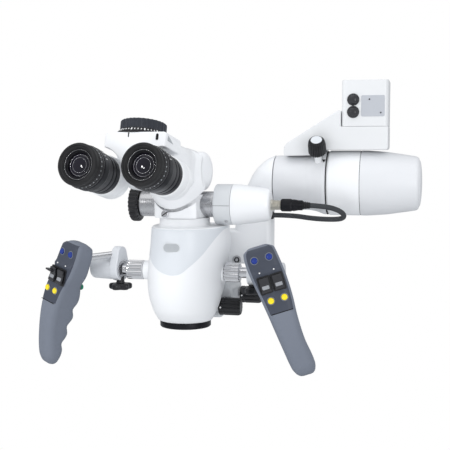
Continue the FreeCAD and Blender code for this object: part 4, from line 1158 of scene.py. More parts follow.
@dataclass
class CameraCable(Assembly):
    """The short cable that loops back from the camera into the arm."""

    body: str = "arm"
    route: tuple[Point, ...] = ((137.0, 0.0, 72.8), (152, 0, 72), (165, 2, 69), (172.5, 8, 63.5),
                                (171, 14, 58.5), (160, 17, 56.9), (138, 20, 57.4), (112, 34, 59.8),
                                (87.0, 50.0, 58.5))
    radius: float = 2.75

    def build(self) -> None:
        """A mesh tube along the route's spline, bent between the head and the arm."""
        points = [self.place.matrix() @ Vector(point) for point in self.route]
        line = self.centre_line(points)
        form = tube_along([point / MM for point in line], self.radius)
        form.transform(Matrix.Scale(MM, 4))
        bmesh.ops.recalc_face_normals(form, faces=form.faces)
        cable = new_object("camera_lead", form, Look.CABLE.value.build())
        cable.data.shade_smooth()
        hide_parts("camera_cable")
        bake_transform(cable)
        self.lathe("cable_grommet", [(2.6, 0.0), (4.6, 0.0), (4.6, 1.8), (3.2, 3.0), (2.6, 3.0)],
                   self.route[-1], Way.X, Look.RUBBER, round_off=0.5, steps=32)

    def centre_line(self, points: Sequence[Vector]) -> list[Vector]:
        """Points in order of the smooth line that the route's points control."""
        curve = bpy.data.curves.new("route", "CURVE")
        curve.dimensions = "3D"
        curve.resolution_u = 16
        spline = curve.splines.new("NURBS")
        spline.points.add(len(points) - 1)
        for target, point in zip(spline.points, points):
            target.co = (*point, 1.0)
        spline.order_u = 3
        spline.use_endpoint_u = True
        holder = bpy.data.objects.new("route", curve)
        mesh = bpy.data.meshes.new_from_object(holder)
        line = [vertex.co.copy() for vertex in mesh.vertices]
        bpy.data.objects.remove(holder)
        bpy.data.meshes.remove(mesh)
        return line


CHIN_HALF = 33.0


def chin_reach(x: float, crown: float, edge: float) -> float:
    """Radius of the barrel shaped chin about the tilt axis at a place across it."""
    return crown - (crown - edge) * min(abs(x) / CHIN_HALF, 1.0) ** 2


@dataclass
class TubeBase(Assembly):
    """The turning base of the binocular tube: a shield round the tilting chin."""

    body: str = "tube_base"
    place: Place = BASE
    radius: float = 36.0
    inner: float = 31.5
    foot: float = 58.8
    back: float = -26.2
    top: float = 87.3
    chin_crown: float = 54.2
    chin_edge: float = 28.6
    turntable_foot: float = 84.4
    lug_left: float = -7.0
    lug_width: float = 14.0
    screw_x: float = -7.0

    def build(self) -> None:
        """Shield, turning plate, lug and clamp screw."""
        self.solid("tube_shield", self.shield(), Look.WHITE, node="tube_base", edge=0.5, angle=40.0)
        foot = self.turntable_foot
        self.lathe("tube_turntable", [(0.0, foot), (19.5, foot), (19.5, 87.0), (18.5, 87.4), (0.0, 87.4)],
                   (0, 0, 0), Way.Z, Look.WHITE)
        self.plate("tube_tongue", box_outline(32.0, 26.0, 4.0), 2.9, (0, -14.5, foot), None, Look.WHITE,
                   edge=0.6, cuts=2)
        outline = rounded_outline([(-15.0, 87.0), (3.0, 87.0), (3.0, 120.0), (-15.0, 120.0)],
                                  [1, 1, 8.9, 8.9], 10)
        self.plate("tube_lug", outline, self.lug_width, (self.lug_left, 0, 0), LEFT_TO_RIGHT, Look.WHITE,
                   edge=0.6, cuts=2)
        self.build_screw()

    def chin_height(self, x: float, y: float) -> float:
        """Height at which the chin leaves the shield's surface, at most the shield's top."""
        _, tilt_y, tilt_z = TILT_POINT
        reach = chin_reach(x, self.chin_crown, self.chin_edge)
        return min(tilt_z - math.sqrt(max(reach ** 2 - (y - tilt_y) ** 2, 0.0)), self.top)

    def shield(self) -> Form:
        """The shield as sections from its left end round the front to its right end."""
        sections = []
        widest = math.acos(-self.back / self.radius)
        count = 72
        for step in range(count + 1):
            angle = -widest + 2 * widest * step / count
            across, deep = math.sin(angle), -math.cos(angle)
            outer = (across * self.radius, deep * self.radius)
            inner = (across * self.inner, deep * self.inner)
            sections.append([(*outer, self.foot + 0.5), (*outer, self.chin_height(*outer)),
                             (*inner, self.chin_height(*inner)), (*inner, self.foot),
                             (outer[0] * 0.986, outer[1] * 0.986, self.foot)])
        return lofted(sections)

    def build_screw(self) -> None:
        """The small silver clamp screw in front, with painted shade for its slot."""
        node = "tube_clamp_screw"
        x, y, z = self.screw_x, 1.0 - self.radius, self.foot + 5.0
        self.lathe("clamp_screw_head", [(2.4, -2.0), (4.2, 0.0), (4.2, 3.2), (3.4, 4.0), (0.0, 4.0)],
                   (x, y, z), Way.MINUS_Y, Look.CHROME, node, node, round_off=0.5, steps=120,
                   radius_at=flutes(12, 0.3, 2.0))
        # Painted shade: a near black plate on the screw's head stands for the shadow in its slot
        self.plate("clamp_screw_slot_shade", box_outline(7.6, 1.0, 0.2, 2), 0.3, (x, y - 3.85, z),
                   FACING_FRONT @ Matrix.Rotation(math.radians(35.0), 3, "Z"), Look.BLACK_AND_SHADE, body=node)


@dataclass
class TubeHead(Assembly):
    """The tilting head: chin, neck, rear drum, housing and hood.

    The housing's rows hold a depth, the half width, the low and high edge and the corners' radius.
    """

    body: str = "tube_head"
    place: Place = TUBE
    face: float = -92.6
    rows: tuple[tuple[float, ...], ...] = (
        (-92.6, 31.0, -32.0, 8.8, 8.0), (-92.0, 32.0, -33.0, 9.8, 9.0), (-74.0, 33.5, -35.0, 9.9, 11.0),
        (-64.0, 34.0, -35.5, 10.6, 12.0), (-54.0, 33.0, -34.5, 11.8, 13.0), (-44.0, 31.0, -32.5, 13.4, 13.0),
        (-34.0, 29.0, -30.0, 15.2, 12.0), (-22.0, 26.6, -26.0, 17.0, 11.0), (-8.0, 25.0, -20.5, 18.2, 10.0),
        (0.0, 25.0, -16.0, 18.4, 10.0))
    hood_front: float = -125.0
    hood_left: float = -28.6
    hood_right: float = 37.0
    hood_top: float = 9.8
    hood_corner: float = 3.5
    barrel_x: float = 33.2
    barrel_z: float = -30.5
    clearance: float = 25.8
    drum_radius: float = 21.0
    drum_half: float = 25.0
    drum_drop: float = 2.4
    chin_crown: float = 53.6
    chin_edge: float = 28.0
    chin_inside: float = 22.0
    chin_span: tuple[float, float] = (math.radians(-18.0), math.radians(64.0))

    def build(self) -> None:
        """Build every piece of the head."""
        self.solid("tube_casting", self.casting(), Look.WHITE, node="tube_housing", edge=0.6, angle=40.0)
        half = self.drum_half
        drum = [(0.0, -half - 5.2), (11.0, -half - 5.0), (17.0, -half - 3.6), (20.0, -half - 1.2),
                (self.drum_radius, 1 - half)]
        drum += [(radius, -height) for radius, height in reversed(drum)]
        self.lathe("rear_drum", drum, (0, 0, -self.drum_drop), Way.X, Look.WHITE, round_off=3.0, steps=96)
        self.solid("tube_chin", self.chin(), Look.WHITE)
        self.build_hood()

    def casting(self) -> Form:
        """The housing as sections from its flat face back to the drum."""
        sections = []
        for y, half, low, high, corner in self.rows:
            outline = box_outline(2 * half, high - low, corner, 8)
            sections.append([(x, y, (low + high) / 2 + z) for x, z in outline])
        return lofted(sections)

    def chin(self) -> Form:
        """The barrel shaped chin, a sector about the tilt axis."""
        across = 40
        half, inside, edge = CHIN_HALF, self.chin_inside, self.chin_edge - 0.8
        outline = [(x, chin_reach(x, self.chin_crown, self.chin_edge))
                   for x in (half * (2 * place / across - 1) for place in range(across + 1))]
        outline += [(half - 0.3, edge), (half - 0.5, inside), (0.5 - half, inside), (0.3 - half, edge)]
        start, end = self.chin_span
        steps = 40
        turns = [start + (end - start) * step / steps for step in range(steps + 1)]
        return lofted([[(x, -reach * math.cos(a), -reach * math.sin(a)) for x, reach in outline]
                       for a in turns])

    def front_outline(self) -> list[tuple[float, float]]:
        """The hood's front outline: flat top, straight sides, and two hollows round the barrels."""
        corner, reach = self.hood_corner, self.clearance
        steps = 22
        begin, end = math.radians(88.0), math.radians(170.0)
        arc = [(self.barrel_x + reach * math.cos(a), self.barrel_z + reach * math.sin(a))
               for a in (begin + (end - begin) * step / steps for step in range(steps + 1))]
        sides = []
        for half in (self.hood_right, -self.hood_left):
            line = [(half - corner + corner * math.sin(a), self.hood_top - corner + corner * math.cos(a))
                    for a in (math.pi / 2 * step / 8 for step in range(9))]
            drop = self.barrel_z + math.sqrt(reach ** 2 - (half - self.barrel_x) ** 2)
            sides.append([*line, (half, drop), *(point for point in arc if point[0] < half - 0.5)])
        return sides[0] + [(-x, z) for x, z in reversed(sides[1])]

    def build_hood(self) -> None:
        """The hood over the barrels, with its index tick, painted shade for the stop's slot and a grey
        triangle of painted shade on its side.
        """
        front = self.hood_front
        self.plate("tube_hood", self.front_outline(), self.face - front + 2.0, (0, front, 0), FRONT_TO_BACK,
                   Look.WHITE, edge=1.1, cuts=4, angle=40.0)
        self.plate("index_tick", box_outline(1.1, 4.6, 0.3, 3), 0.3, (-3.0, front - 0.05, 6.8), FACING_FRONT,
                   Look.BLACK_AND_SHADE)
        # Painted shade: a near black plate on the hood's face stands for the shadow in the stop's slot
        self.plate("stop_slot_shade", box_outline(2.6, 6.4, 1.3, 6), 0.3, (27.6, front - 0.05, 4.6), FACING_FRONT,
                   Look.BLACK_AND_SHADE)
        # Painted shade: a grey triangle on the hood's right side stands for a facet turned away from the
        # light
        self.plate("side_facet_shade", [(0.0, -2.2), (13.0, -3.0), (1.0, 2.6)], 0.3,
                   (self.hood_right, front + 3.5, 4.0), LEFT_TO_RIGHT, Look.BADGE)


@dataclass
class DistanceDial(Assembly):
    """The fluted dial on the hood that moves both eyepieces together."""

    body: str = "distance_dial"
    place: Place = TUBE
    centre: Point = (0.0, -101.0, 10.1)
    radius: float = 22.9
    flange: float = 26.0
    height: float = 14.4
    ticks: int = 48
    tick_lean: float = math.radians(51.3)

    def build(self) -> None:
        """Dial, flange with ticks and the shallow top."""
        radius, top, flange = self.radius, self.height, self.flange
        grip = [(22.0, 0.0), (flange - 0.4, 0.0), (flange, 0.4), (flange, 0.9), (radius + 0.3, 4.4),
                (radius, 4.8), (22.0, 4.8)]
        self.lathe("dial_grip", grip, self.centre, Way.Z, Look.KNOB, node="distance_dial", round_off=0.2,
                   steps=144)
        rim = [(radius - 1.0, 4.0), (radius - 0.1, 4.8), (radius, 5.4), (radius, top - 1.0),
               (radius - 1.0, top), (radius - 3.0, top), (radius - 3.8, top - 0.6), (0.0, top - 0.7)]
        self.lathe("dial_rim", rim, self.centre, Way.Z, Look.DIAL, round_off=0.5, steps=360,
                   radius_at=flutes(30, 0.75))
        tilt = Matrix.Rotation(self.tick_lean, 3, "X")
        for index in range(self.ticks):
            size = (0.9, 1.6) if index % 4 else (1.2, 2.8)
            spin = Matrix.Rotation(math.tau * index / self.ticks, 3, "Z")
            spot = Vector(self.centre) + spin @ Vector((0.0, -radius - 1.75, 2.65))
            self.plate(f"dial_tick_{index}", box_outline(*size, 0.1, 2), 0.3, spot, spin @ tilt, Look.MARK)


@dataclass
class Sided(Assembly):
    """A sub-assembly that the microscope has on its left and on its right."""

    name: str = "left"
    side: int = -1


@dataclass
class Eyepiece(Sided):
    """One eyepiece: white sleeve, black barrel, dioptre ring, rubber cup and eye lens."""

    place: Place = TUBE
    x: float = 33.2
    z: float = -30.5
    front: float = 165.3
    bore: float = 15.1
    cup_radius: float = 20.6
    cup_length: float = 9.0
    ring_radius: float = 21.4
    barrel_radius: float = 21.0
    barrel_back: float = 19.2
    barrel_front: float = 147.7
    sleeve_front: float = 113.5
    sleeve_length: float = 21.5
    sleeve_radius: float = 20.4
    ticks: int = 13
    tick_start: float = -62.0
    tick_pitch: float = 10.5
    dots: int = 30

    def along(self, reach: float) -> Point:
        """A point on the eyepiece's axis at a distance in front of the tilt axis."""
        return (self.side * self.x, -reach, self.z)

    def part(self, suffix: str, profile: Profile, reach: float, look: Look, body: str = "eyepiece",
             node: str = "", round_off: float = 0.3, steps: int = 96,
             radius_at: RadiusAt | None = None) -> None:
        """Add a turned piece whose profile runs forward from a reach.

        Args:
            suffix: End of the piece's name.
            profile: Radius and height pairs.
            reach: Where the profile starts.
            look: Its finish.
            body: End of the name of the body that carries it.
            node: End of the name of the node that it replaces, or empty.
            round_off: Rounding of the profile's corners.
            steps: Points round the axis.
            radius_at: Flutes, as in `turned`.
        """
        self.lathe(f"{self.name}_{suffix}", profile, self.along(reach), Way.MINUS_Y, look,
                   f"{self.name}_{body}", f"{self.name}_{node}" if node else "", round_off, steps,
                   radius_at)

    def build(self) -> None:
        """Build the eyepiece from the sleeve forward."""
        radius, length = self.sleeve_radius, self.sleeve_length
        sleeve = [(10.0, 0.0), (radius - 1.0, 0.0), (radius, 1.0), (radius, 8.0), (radius - 0.35, 8.1),
                  (radius - 0.35, 8.6), (radius, 8.7), (radius, length - 1.0), (radius - 0.9, length),
                  (10.0, length)]
        self.part("tube_sleeve", sleeve, self.sleeve_front - length, Look.WHITE, node="eyepiece_sleeve",
                  round_off=0.5)
        wide, slim = self.barrel_radius, self.barrel_back
        barrel = [(10.0, 0.0), (slim, 0.0), (slim, 6.5), (slim - 0.4, 7.1), (slim - 0.4, 8.5),
                  (slim + 0.3, 9.1), (20.0, 14.5), (19.6, 14.9), (19.6, 15.7), (20.0, 16.1), (20.7, 24.5),
                  (wide + 0.2, 25.5), (wide + 0.2, 33.4), (wide - 0.5, 34.2), (15.0, 34.2), (15.0, 45.2),
                  (13.0, 45.2)]
        self.part("tube_barrel", barrel, self.sleeve_front, Look.ANODISED, node="eyepiece")
        self.build_marks()
        ring, bore = self.ring_radius, self.bore
        grip = [(bore, 0.0), (ring - 0.8, 0.0), (ring, 0.8), (ring, 3.0), (ring - 0.5, 3.4),
                (ring - 0.5, 7.4), (ring - 1.0, 8.0), (bore, 8.0)]
        self.part("dioptre_grip", grip, self.barrel_front + 0.3, Look.KNOB, "dioptre_ring", "dioptre_ring",
                  steps=240, radius_at=flutes(60, 0.35))
        self.build_cup()
        self.build_lens(self.front - self.cup_length)

    def build_marks(self) -> None:
        """White ticks round the barrel and dots on the dioptre ring."""
        for index in range(self.ticks):
            self.mark(f"barrel_tick_{index}", box_outline(0.7, 2.4 if index % 3 else 3.4, 0.2, 2),
                      math.radians(self.tick_start + index * self.tick_pitch), self.sleeve_front + 29.0,
                      self.barrel_radius + 0.15, "eyepiece", Look.MARK)
        for index in range(self.dots):
            self.mark(f"dioptre_dot_{index}", box_outline(1.1, 1.4, 0.5, 4),
                      math.tau * index / self.dots + 0.1, self.barrel_front + 5.7, self.ring_radius - 0.75,
                      "dioptre_ring", Look.BADGE)

    def mark(self, suffix: str, outline: Profile, angle: float, reach: float, radius: float, body: str,
             look: Look) -> None:
        """A small pale mark on a round surface.

        Args:
            suffix: End of the piece's name.
            outline: The mark, along the axis in its second coordinate.
            angle: Its angle round the axis, 0 at the top and positive to the right.
            reach: Distance in front of the tilt axis.
            radius: Radius of the surface.
            body: End of the name of the body that carries it.
            look: Its finish.
        """
        spin = Matrix.Rotation(angle, 3, "Y")
        spot = Vector(self.along(reach)) + spin @ Vector((0.0, 0.0, radius))
        self.plate(f"{self.name}_{suffix}", outline, 0.25, spot, spin, look, body=f"{self.name}_{body}")

    def build_cup(self) -> None:
        """Rubber cup with its rings."""
        radius, length, bore = self.cup_radius, self.cup_length, self.bore
        cup = [(bore, 0.0), (radius - 0.5, 0.0), (radius, 0.6), (radius, 1.6), (radius - 0.5, 2.0),
               (radius, 2.6), (radius, length - 2.6), (radius - 0.9, length - 0.6),
               (radius - 2.6, length - 0.1), (17.6, length - 0.9), (17.0, length - 1.8),
               (16.2, length - 2.0), (15.6, length - 3.2), (bore, length - 3.4), (bore, 2.0)]
        self.part("rubber_cup", cup, self.front - length, Look.RUBBER, "eyecup", "eyecup", round_off=0.6)

    def build_lens(self, seat: float) -> None:
        """The eye lens with its stepped rim, a bright bezel and two bright rings of painted reflection on
        the glass, inside the cup.

        Args:
            seat: Distance of its seat in front of the tilt axis.
        """
        rim = [(15.0, 0.0), (15.0, 4.6), (14.4, 5.0), (13.2, 4.4), (12.9, 3.4), (12.2, 3.2), (11.7, 2.2),
               (11.7, 0.0)]
        self.part("lens_rim", rim, seat, Look.ANODISED, round_off=0.25)
        # The first ring is the lens's bezel; the two inner rings lie on the glass and are painted
        # reflection, standing for light mirrored in the curved lens
        for index, (ring_reach, height) in enumerate(((14.5, 4.7), (10.4, 1.5), (7.5, 2.2))):
            ring = [(ring_reach, height), (ring_reach - 0.15, height + 0.35), (ring_reach - 0.4, height + 0.3),
                    (ring_reach - 0.45, height)]
            self.part(f"lens_bezel_{index}", ring, seat, Look.STEEL, round_off=0.1)
        self.part("eye_lens", [(11.6, 1.0), (9.0, 1.9), (6.0, 2.5), (3.0, 2.85), (0.0, 2.95)], seat,
                  Look.LENS, round_off=0.8, steps=64)


@dataclass
class GripBracket(Sided):
    """The block, boss, stub and clamp knob between the body and one handgrip."""

    inner: float = 70.3
    thick: float = 10.0
    low_radius: float = 13.0
    top_radius: float = 8.5
    top_z: float = 16.0
    axis_z: float = -1.0
    boss_radius: float = 12.0
    boss_end: float = 110.0
    stub_radius: float = 5.9
    stub_length: float = 27.0
    star_radius: float = 13.4
    star_height: float = 7.0
    yaw: float = 0.0
    shift: float = 0.0

    def build(self) -> None:
        """Block, boss, stub and knob."""
        self.body = f"{self.name}_grip"
        outward, inward = Way.out(self.side), Way.out(-self.side)
        near = self.side * (self.inner + self.shift)
        turned_aside = Assembly(self.body, HEAD.then((near, 0.0, 0.0), Matrix.Rotation(self.yaw, 3, "Z")))
        start = 0.0 if self.side > 0 else -self.thick
        turned_aside.plate(f"{self.name}_block", self.lozenge(), self.thick, (start, 0.0, 0.0),
                           LEFT_TO_RIGHT, Look.SILVER, node=f"{self.name}_grip_bracket", edge=1.2, cuts=4)
        radius, length = self.boss_radius, self.boss_end - self.inner - self.thick - self.shift
        boss = [(4.0, -1.0), (radius, -1.0), (radius, length - 1.2), (radius - 1.2, length), (0.0, length)]
        turned_aside.lathe(f"{self.name}_boss", boss, (self.side * self.thick, 0, self.axis_z), outward,
                           Look.SILVER, round_off=1.4, steps=80)
        recess = [(9.8, -0.2), (9.8, 0.5), (8.8, 0.7), (8.3, -0.1), (5.4, -0.3), (4.9, 0.3), (3.0, 0.4)]
        turned_aside.lathe(f"{self.name}_recess", recess, (0, 0, self.axis_z), inward, Look.STEEL,
                           round_off=0.2, steps=60)
        stub = [(self.stub_radius, 0.0), (self.stub_radius, self.stub_length)]
        self.lathe(f"{self.name}_stub", stub, (self.side * (self.inner + 1.0), 0, self.axis_z), inward,
                   Look.CHROME, round_off=0.2, steps=48)
        self.build_star()

    def lozenge(self) -> list[tuple[float, float]]:
        """Outline of two circles and their tangents, in Y and Z."""
        lean = math.acos((self.low_radius - self.top_radius) / (self.top_z - self.axis_z))
        arcs = ((self.top_radius, self.top_z, math.pi / 2 - lean, 2 * lean, 20),
                (self.low_radius, self.axis_z, math.pi / 2 + lean, math.tau - 2 * lean, 40))
        outline = []
        for radius, centre, start, sweep, steps in arcs:
            for angle in (start + sweep * step / steps for step in range(steps + 1)):
                outline.append((radius * math.cos(angle), centre + radius * math.sin(angle)))
        return outline

    def build_star(self) -> None:
        """The black lobed clamp knob under the block."""
        body = f"{self.name}_clamp_knob"
        x = self.side * (self.inner + self.thick / 2)
        top = self.axis_z - self.low_radius - 2.5
        radius, height = self.star_radius, self.star_height

        def lobes(reach: float, _: float, angle: float) -> float:
            return reach * (0.86 + 0.14 * math.cos(5 * angle))

        star = [(0.0, 0.0), (radius - 1.6, 0.0), (radius, 1.4), (radius, height - 1.8),
                (radius - 1.6, height - 0.3), (6.0, height), (4.4, height + 1.4), (0.0, height + 1.4)]
        self.lathe(f"{self.name}_star", star, (x, 0, top - height), Way.Z, Look.KNOB, body, body,
                   round_off=0.9, steps=160, radius_at=lobes)
        self.lathe(f"{self.name}_star_stem", [(4.6, 0.0), (4.2, 8.5)], (x, 0, top - 1.0), Way.Z, Look.KNOB,
                   body, round_off=0.1, steps=32)


@dataclass
class Handgrip(Sided):
    """A finger grooved handgrip with its rod and controls, in its own frame.

    The frame's origin is at the top of the grip, which runs down -Z with its control panel on -Y.
    Its rows hold a height, the half width, the front and back depth and the corners' radius.
    """

    top: Point = (0.0, 0.0, 0.0)
    foot: Point = (0.0, 0.0, -143.0)
    turn: float = 0.0
    bend: Profile = ((-143.0, 0.0), (0.0, 0.0))
    rows: tuple[tuple[float, ...], ...] = (
        (0.0, 12.0, 7.5, 8.0, 6.0), (-5.0, 16.6, 11.0, 12.0, 7.0), (-30.0, 18.0, 12.5, 14.0, 7.0),
        (-60.0, 16.0, 14.5, 18.0, 7.5), (-78.0, 14.2, 16.0, 18.5, 8.0), (-104.0, 12.8, 15.0, 15.5, 9.0),
        (-132.0, 12.6, 9.5, 11.0, 9.0), (-143.0, 9.0, 4.0, 7.5, 7.0))
    grooves: tuple[float, ...] = (-78.0, -98.0, -118.0)
    groove_depth: float = 4.0
    thumb_rest: float = -48.0
    seam: float = -71.0
    ledge: float = 27.5
    rod_z: float = -18.0
    rod_radius: float = 3.8
    rod_hole: Point = (77.3, 0.0, 16.0)
    rocker_drop: float = 40.0
    trigger_z: float = -52.0
    trigger_aside: float = 6.0

    def __post_init__(self) -> None:
        """Work out the grip's frame from its top, foot and turn."""
        up = (Vector(self.top) - Vector(self.foot)).normalized()
        facing = math.radians(self.turn)
        across = Vector((-math.sin(facing), math.cos(facing), 0.0)).cross(up).normalized()
        self.place = HEAD.then(self.top, Matrix((across, up.cross(across), up)).transposed())
        self.body = f"{self.name}_handle"

    def build(self) -> None:
        """Build the grip, its rod and every control."""
        self.solid(f"{self.name}_handgrip", self.bent(self.form()), Look.HANDLE, node=self.body)
        self.build_panel()
        self.build_rod()
        for name, side in SIDES:
            self.button(f"{self.name}_{name}_blue_button", side * 7.9, 13.0, Look.BLUE)
            self.button(f"{self.name}_{name}_yellow_button", side * 7.2, 57.0, Look.YELLOW)
            self.rocker(f"{self.name}_{name}_rocker", side)
        self.build_trigger()

    def row(self, z: float) -> tuple[float, ...]:
        """Half width, front, back and corner radius at a height."""
        return smooth_row(self.rows, z, level_start=True)

    def aside(self, z: float) -> float:
        """How far the grip's middle line is bent aside at a height."""
        return height_on(rounded(self.bend, 12.0, 6), z)

    def bent(self, form: Form) -> Form:
        """The same form, with every point moved aside by the bend."""
        for vertex in form.verts:
            vertex.co.x += self.aside(vertex.co.z)
        return form

    def back_cut(self, z: float) -> float:
        """How far the finger grooves and the thumb's rest cut into the back at a height."""
        cuts = [self.groove_depth * math.exp(-((z - groove) / 6.0) ** 2) for groove in self.grooves]
        return max(*cuts, 3.5 * math.exp(-((z - self.thumb_rest) / 9.0) ** 2))

    def form(self) -> Form:
        """The grip as many rounded sections, with its rounded top and foot."""
        heights = [0.0, -0.5, -1.4, -2.6, -4.0, -5.5, *(-7.5 - 1.5 * step for step in range(87)),
                   -139.5, -141.2, -142.4, -143.0]
        sections = []
        for z in heights:
            half, front, back, corner = self.row(z)
            end = 0.0
            if z < -138.0:
                end = 4.0 * (1 - math.sqrt(max(0.0, 1 - ((-138.0 - z) / 5.0) ** 2)))
            if z > -5.0:
                end = 3.2 * (1 - math.sqrt(max(0.0, 1 - ((5.0 + z) / 5.0) ** 2)))
            half, front, back = half - end, front - end, back - end - self.back_cut(z)
            corner = max(2.5, min(corner, half - 0.5) - end * 0.5)
            sections.append([(x, y + (back - front) / 2, z)
                             for x, y in box_outline(2 * half, front + back, corner, 10)])
        return lofted(sections)

    def front_at(self, drop: float) -> float:
        """Depth of the grip's front at a distance below its top."""
        return self.row(-drop)[1]

    def panel_row(self, drop: float) -> list[Point]:
        """Points across the control panel at a distance below the grip's top."""
        half, front, _, corner = self.row(-drop)
        wide = half - corner * 0.35
        ledge = 1.3 * math.exp(-((drop - self.ledge) / 2.2) ** 2)
        row = []
        for x in (wide * (place / 6 - 1) for place in range(13)):
            over = max(0.0, abs(x) - (half - corner))
            round_off = corner - math.sqrt(max(corner ** 2 - over ** 2, 0.0))
            row.append((x, -front + round_off - 0.35 - ledge, -drop))
        (left, y, _), (right, _, _) = row[0], row[-1]
        return [(left - 0.1, y + 1.2, -drop), *row, (right + 0.1, y + 1.2, -drop)]

    def build_panel(self) -> None:
        """The lighter control panel with its ledge, dots, and painted shade in its seam."""
        top, foot, steps = 2.5, 70.5, 44
        points = [self.panel_row(top + (foot - top) * step / steps) for step in range(steps + 1)]
        points.insert(0, [(x, y + 1.0, -1.8) for x, y, _ in points[0]])
        points.append([(x, y + 1.0, self.seam) for x, y, _ in points[-1]])
        form = bmesh.new()
        skin(form, [[form.verts.new(point) for point in row] for row in points], closed=False)
        self.solid(f"{self.name}_panel", self.bent(form), Look.PANEL_DARK)
        # Painted shade: a near black strip along the seam at the panel's foot, where the groove's shadow
        # falls
        half, front = self.row(self.seam)[:2]
        self.plate(f"{self.name}_seam", box_outline(2 * half - 6.0, 0.8, 0.2, 2), 0.3,
                   (self.aside(self.seam), -front + 0.1, self.seam), FACING_FRONT, Look.BLACK_AND_SHADE)
        z = 1.0 - self.ledge
        for index, x in enumerate((-7.6, 7.6)):
            self.lathe(f"{self.name}_ledge_dot_{index}", [(0.8, 0.0), (0.8, 0.5), (0.4, 0.7), (0.0, 0.7)],
                       (x + self.aside(z), -self.front_at(self.ledge) - 1.5, z), Way.MINUS_Y, Look.MARK,
                       round_off=0.1, steps=20)

    def build_rod(self) -> None:
        """The chrome rod and the neck that it leaves the grip by."""
        x, z = self.aside(self.rod_z), self.rod_z
        neck = [(10.5, 0.0), (9.0, 2.0), (7.2, 4.6), (6.2, 8.0), (5.4, 9.4), (3.9, 9.6)]
        self.lathe(f"{self.name}_neck", neck, (x, 9.6, z), Way.Y, Look.HANDLE, round_off=2.0, steps=56)
        start = Vector((x, 12.0, z))
        across, deep, high = self.rod_hole
        hole = self.place.turn.transposed() @ (Vector((self.side * across, deep, high)) - Vector(self.top))
        way = hole - start
        radius, length = self.rod_radius, way.length
        rod = [(0.0, 0.0), (radius - 0.4, 0.0), (radius, 0.4), (radius, length - 0.4),
               (radius - 0.4, length), (0.0, length)]
        self.lathe(f"{self.name}_rod", rod, start, way, Look.CHROME, node=f"{self.name}_grip_rod",
                   round_off=0.2, steps=48)

    def button(self, node: str, x: float, drop: float, look: Look) -> None:
        """A domed push button in its ring.

        Args:
            node: The CAD node and body of the button.
            x: Its place across the panel.
            drop: Distance below the grip's top.
            look: Its finish.
        """
        x, y, z = x + self.aside(-drop), -self.front_at(drop) - 0.35, -drop
        cap = [(3.1, 0.0), (3.25, 2.6), (3.25, 3.4), (2.9, 4.1), (2.3, 4.25), (1.9, 3.9), (0.0, 3.75)]
        self.lathe(f"{node}_cap", cap, (x, y + 2.4, z), Way.MINUS_Y, look, node, node, round_off=0.35,
                   steps=48)
        self.lathe(f"{node}_ring", [(3.4, 0.0), (4.3, 0.0), (4.2, 0.35), (3.5, 0.4)], (x, y + 0.05, z),
                   Way.MINUS_Y, Look.HANDLE, round_off=0.1, steps=48)

    def rocker(self, node: str, side: int) -> None:
        """A rocker key with its frame and a pale pad of painted reflection, and a blade on the left grip's
        outer key.

        Args:
            node: The CAD node and body of the rocker.
            side: -1 for the panel's left, 1 for its right.
        """
        z = -self.rocker_drop
        x, y = side * 7.0 + self.aside(z), -self.front_at(self.rocker_drop) - 0.35
        self.plate(f"{node}_frame", box_outline(13.8, 18.8, 1.6, 4), 0.8, (x, y + 0.2, z), FACING_FRONT,
                   Look.KNOB, edge=0.4)
        profile = [(-7.6, 2.0), (-2.6, 0.7), (2.6, 0.7), (7.6, 2.0), (7.6, 3.3), (6.2, 3.5), (0.0, 2.0),
                   (-6.2, 3.5), (-7.6, 3.3)]
        outline = rounded_outline(profile, [0.3, 2.0, 2.0, 0.3, 0.9, 1.2, 6.0, 1.2, 0.9], 5)
        self.plate(f"{node}_key", outline, 9.8, (x - 4.9, y - 0.6, z), ALONG_THE_KEY, Look.GLOSS, body=node,
                   node=node, edge=0.5)
        # Painted reflection: the pale pad on the key's lower face
        lean = Matrix.Rotation(math.radians(-11.0), 3, "X")
        self.plate(f"{node}_pad", box_outline(7.4, 3.8, 0.8, 4), 0.5, (x, y - 3.0, z - 2.4),
                   lean @ FACING_FRONT, Look.PAINTED_KEY_REFLECTION, body=node, edge=0.25, cuts=2)
        if self.side < 0 and side < 0:
            blade = [(-12.5, -0.9), (-2.0, -1.4), (-2.0, 1.4), (-12.5, 0.9)]
            self.plate(f"{node}_blade", rounded_outline(blade, [0.8, 0.4, 0.4, 0.8], 4), 5.0,
                       (x + 3.0, y - 1.6, z + 3.6), FACING_FRONT, Look.GLOSS, body=node, edge=0.4)

    def build_trigger(self) -> None:
        """The green trigger in its socket on the back."""
        node, z = f"{self.name}_trigger", self.trigger_z
        back = self.row(z)[2] - self.back_cut(z)
        x = self.aside(z) - self.side * self.trigger_aside
        self.lathe(f"{node}_cap", [(3.3, 0.0), (3.4, 2.6), (3.4, 9.0), (2.6, 10.1), (0.0, 10.3)],
                   (x, back - 3.6, z), Way.Y, Look.GREEN, node, node, round_off=0.6, steps=48)
        self.lathe(f"{node}_socket", [(3.6, 0.0), (6.4, 0.0), (5.6, 2.6), (4.6, 3.4), (3.6, 3.2)],
                   (x, back - 1.6, z), Way.Y, Look.KNOB, round_off=0.4, steps=48)


LEFT_GRIP = Handgrip(name="left", side=-1, top=(-124.0, -20.0, 33.0), foot=(-155.0, -20.0, -106.0),
                     turn=-33.5, bend=((-143.0, 0.0), (-120.0, -1.2), (-100.0, -1.9), (-80.0, -2.0),
                                       (-57.0, -0.5), (-40.0, 6.0), (-13.0, 11.5), (0.0, 12.0)))
RIGHT_GRIP = Handgrip(name="right", side=1, top=(90.7, -36.0, 33.0), foot=(133.6, -36.0, -104.0), turn=14.0,
                      bend=((-143.0, 7.0), (-125.0, 5.0), (-104.0, 2.0), (-80.0, 0.5), (-57.0, 0.0),
                            (-40.0, -1.5), (-13.0, -4.0), (0.0, -4.0)))


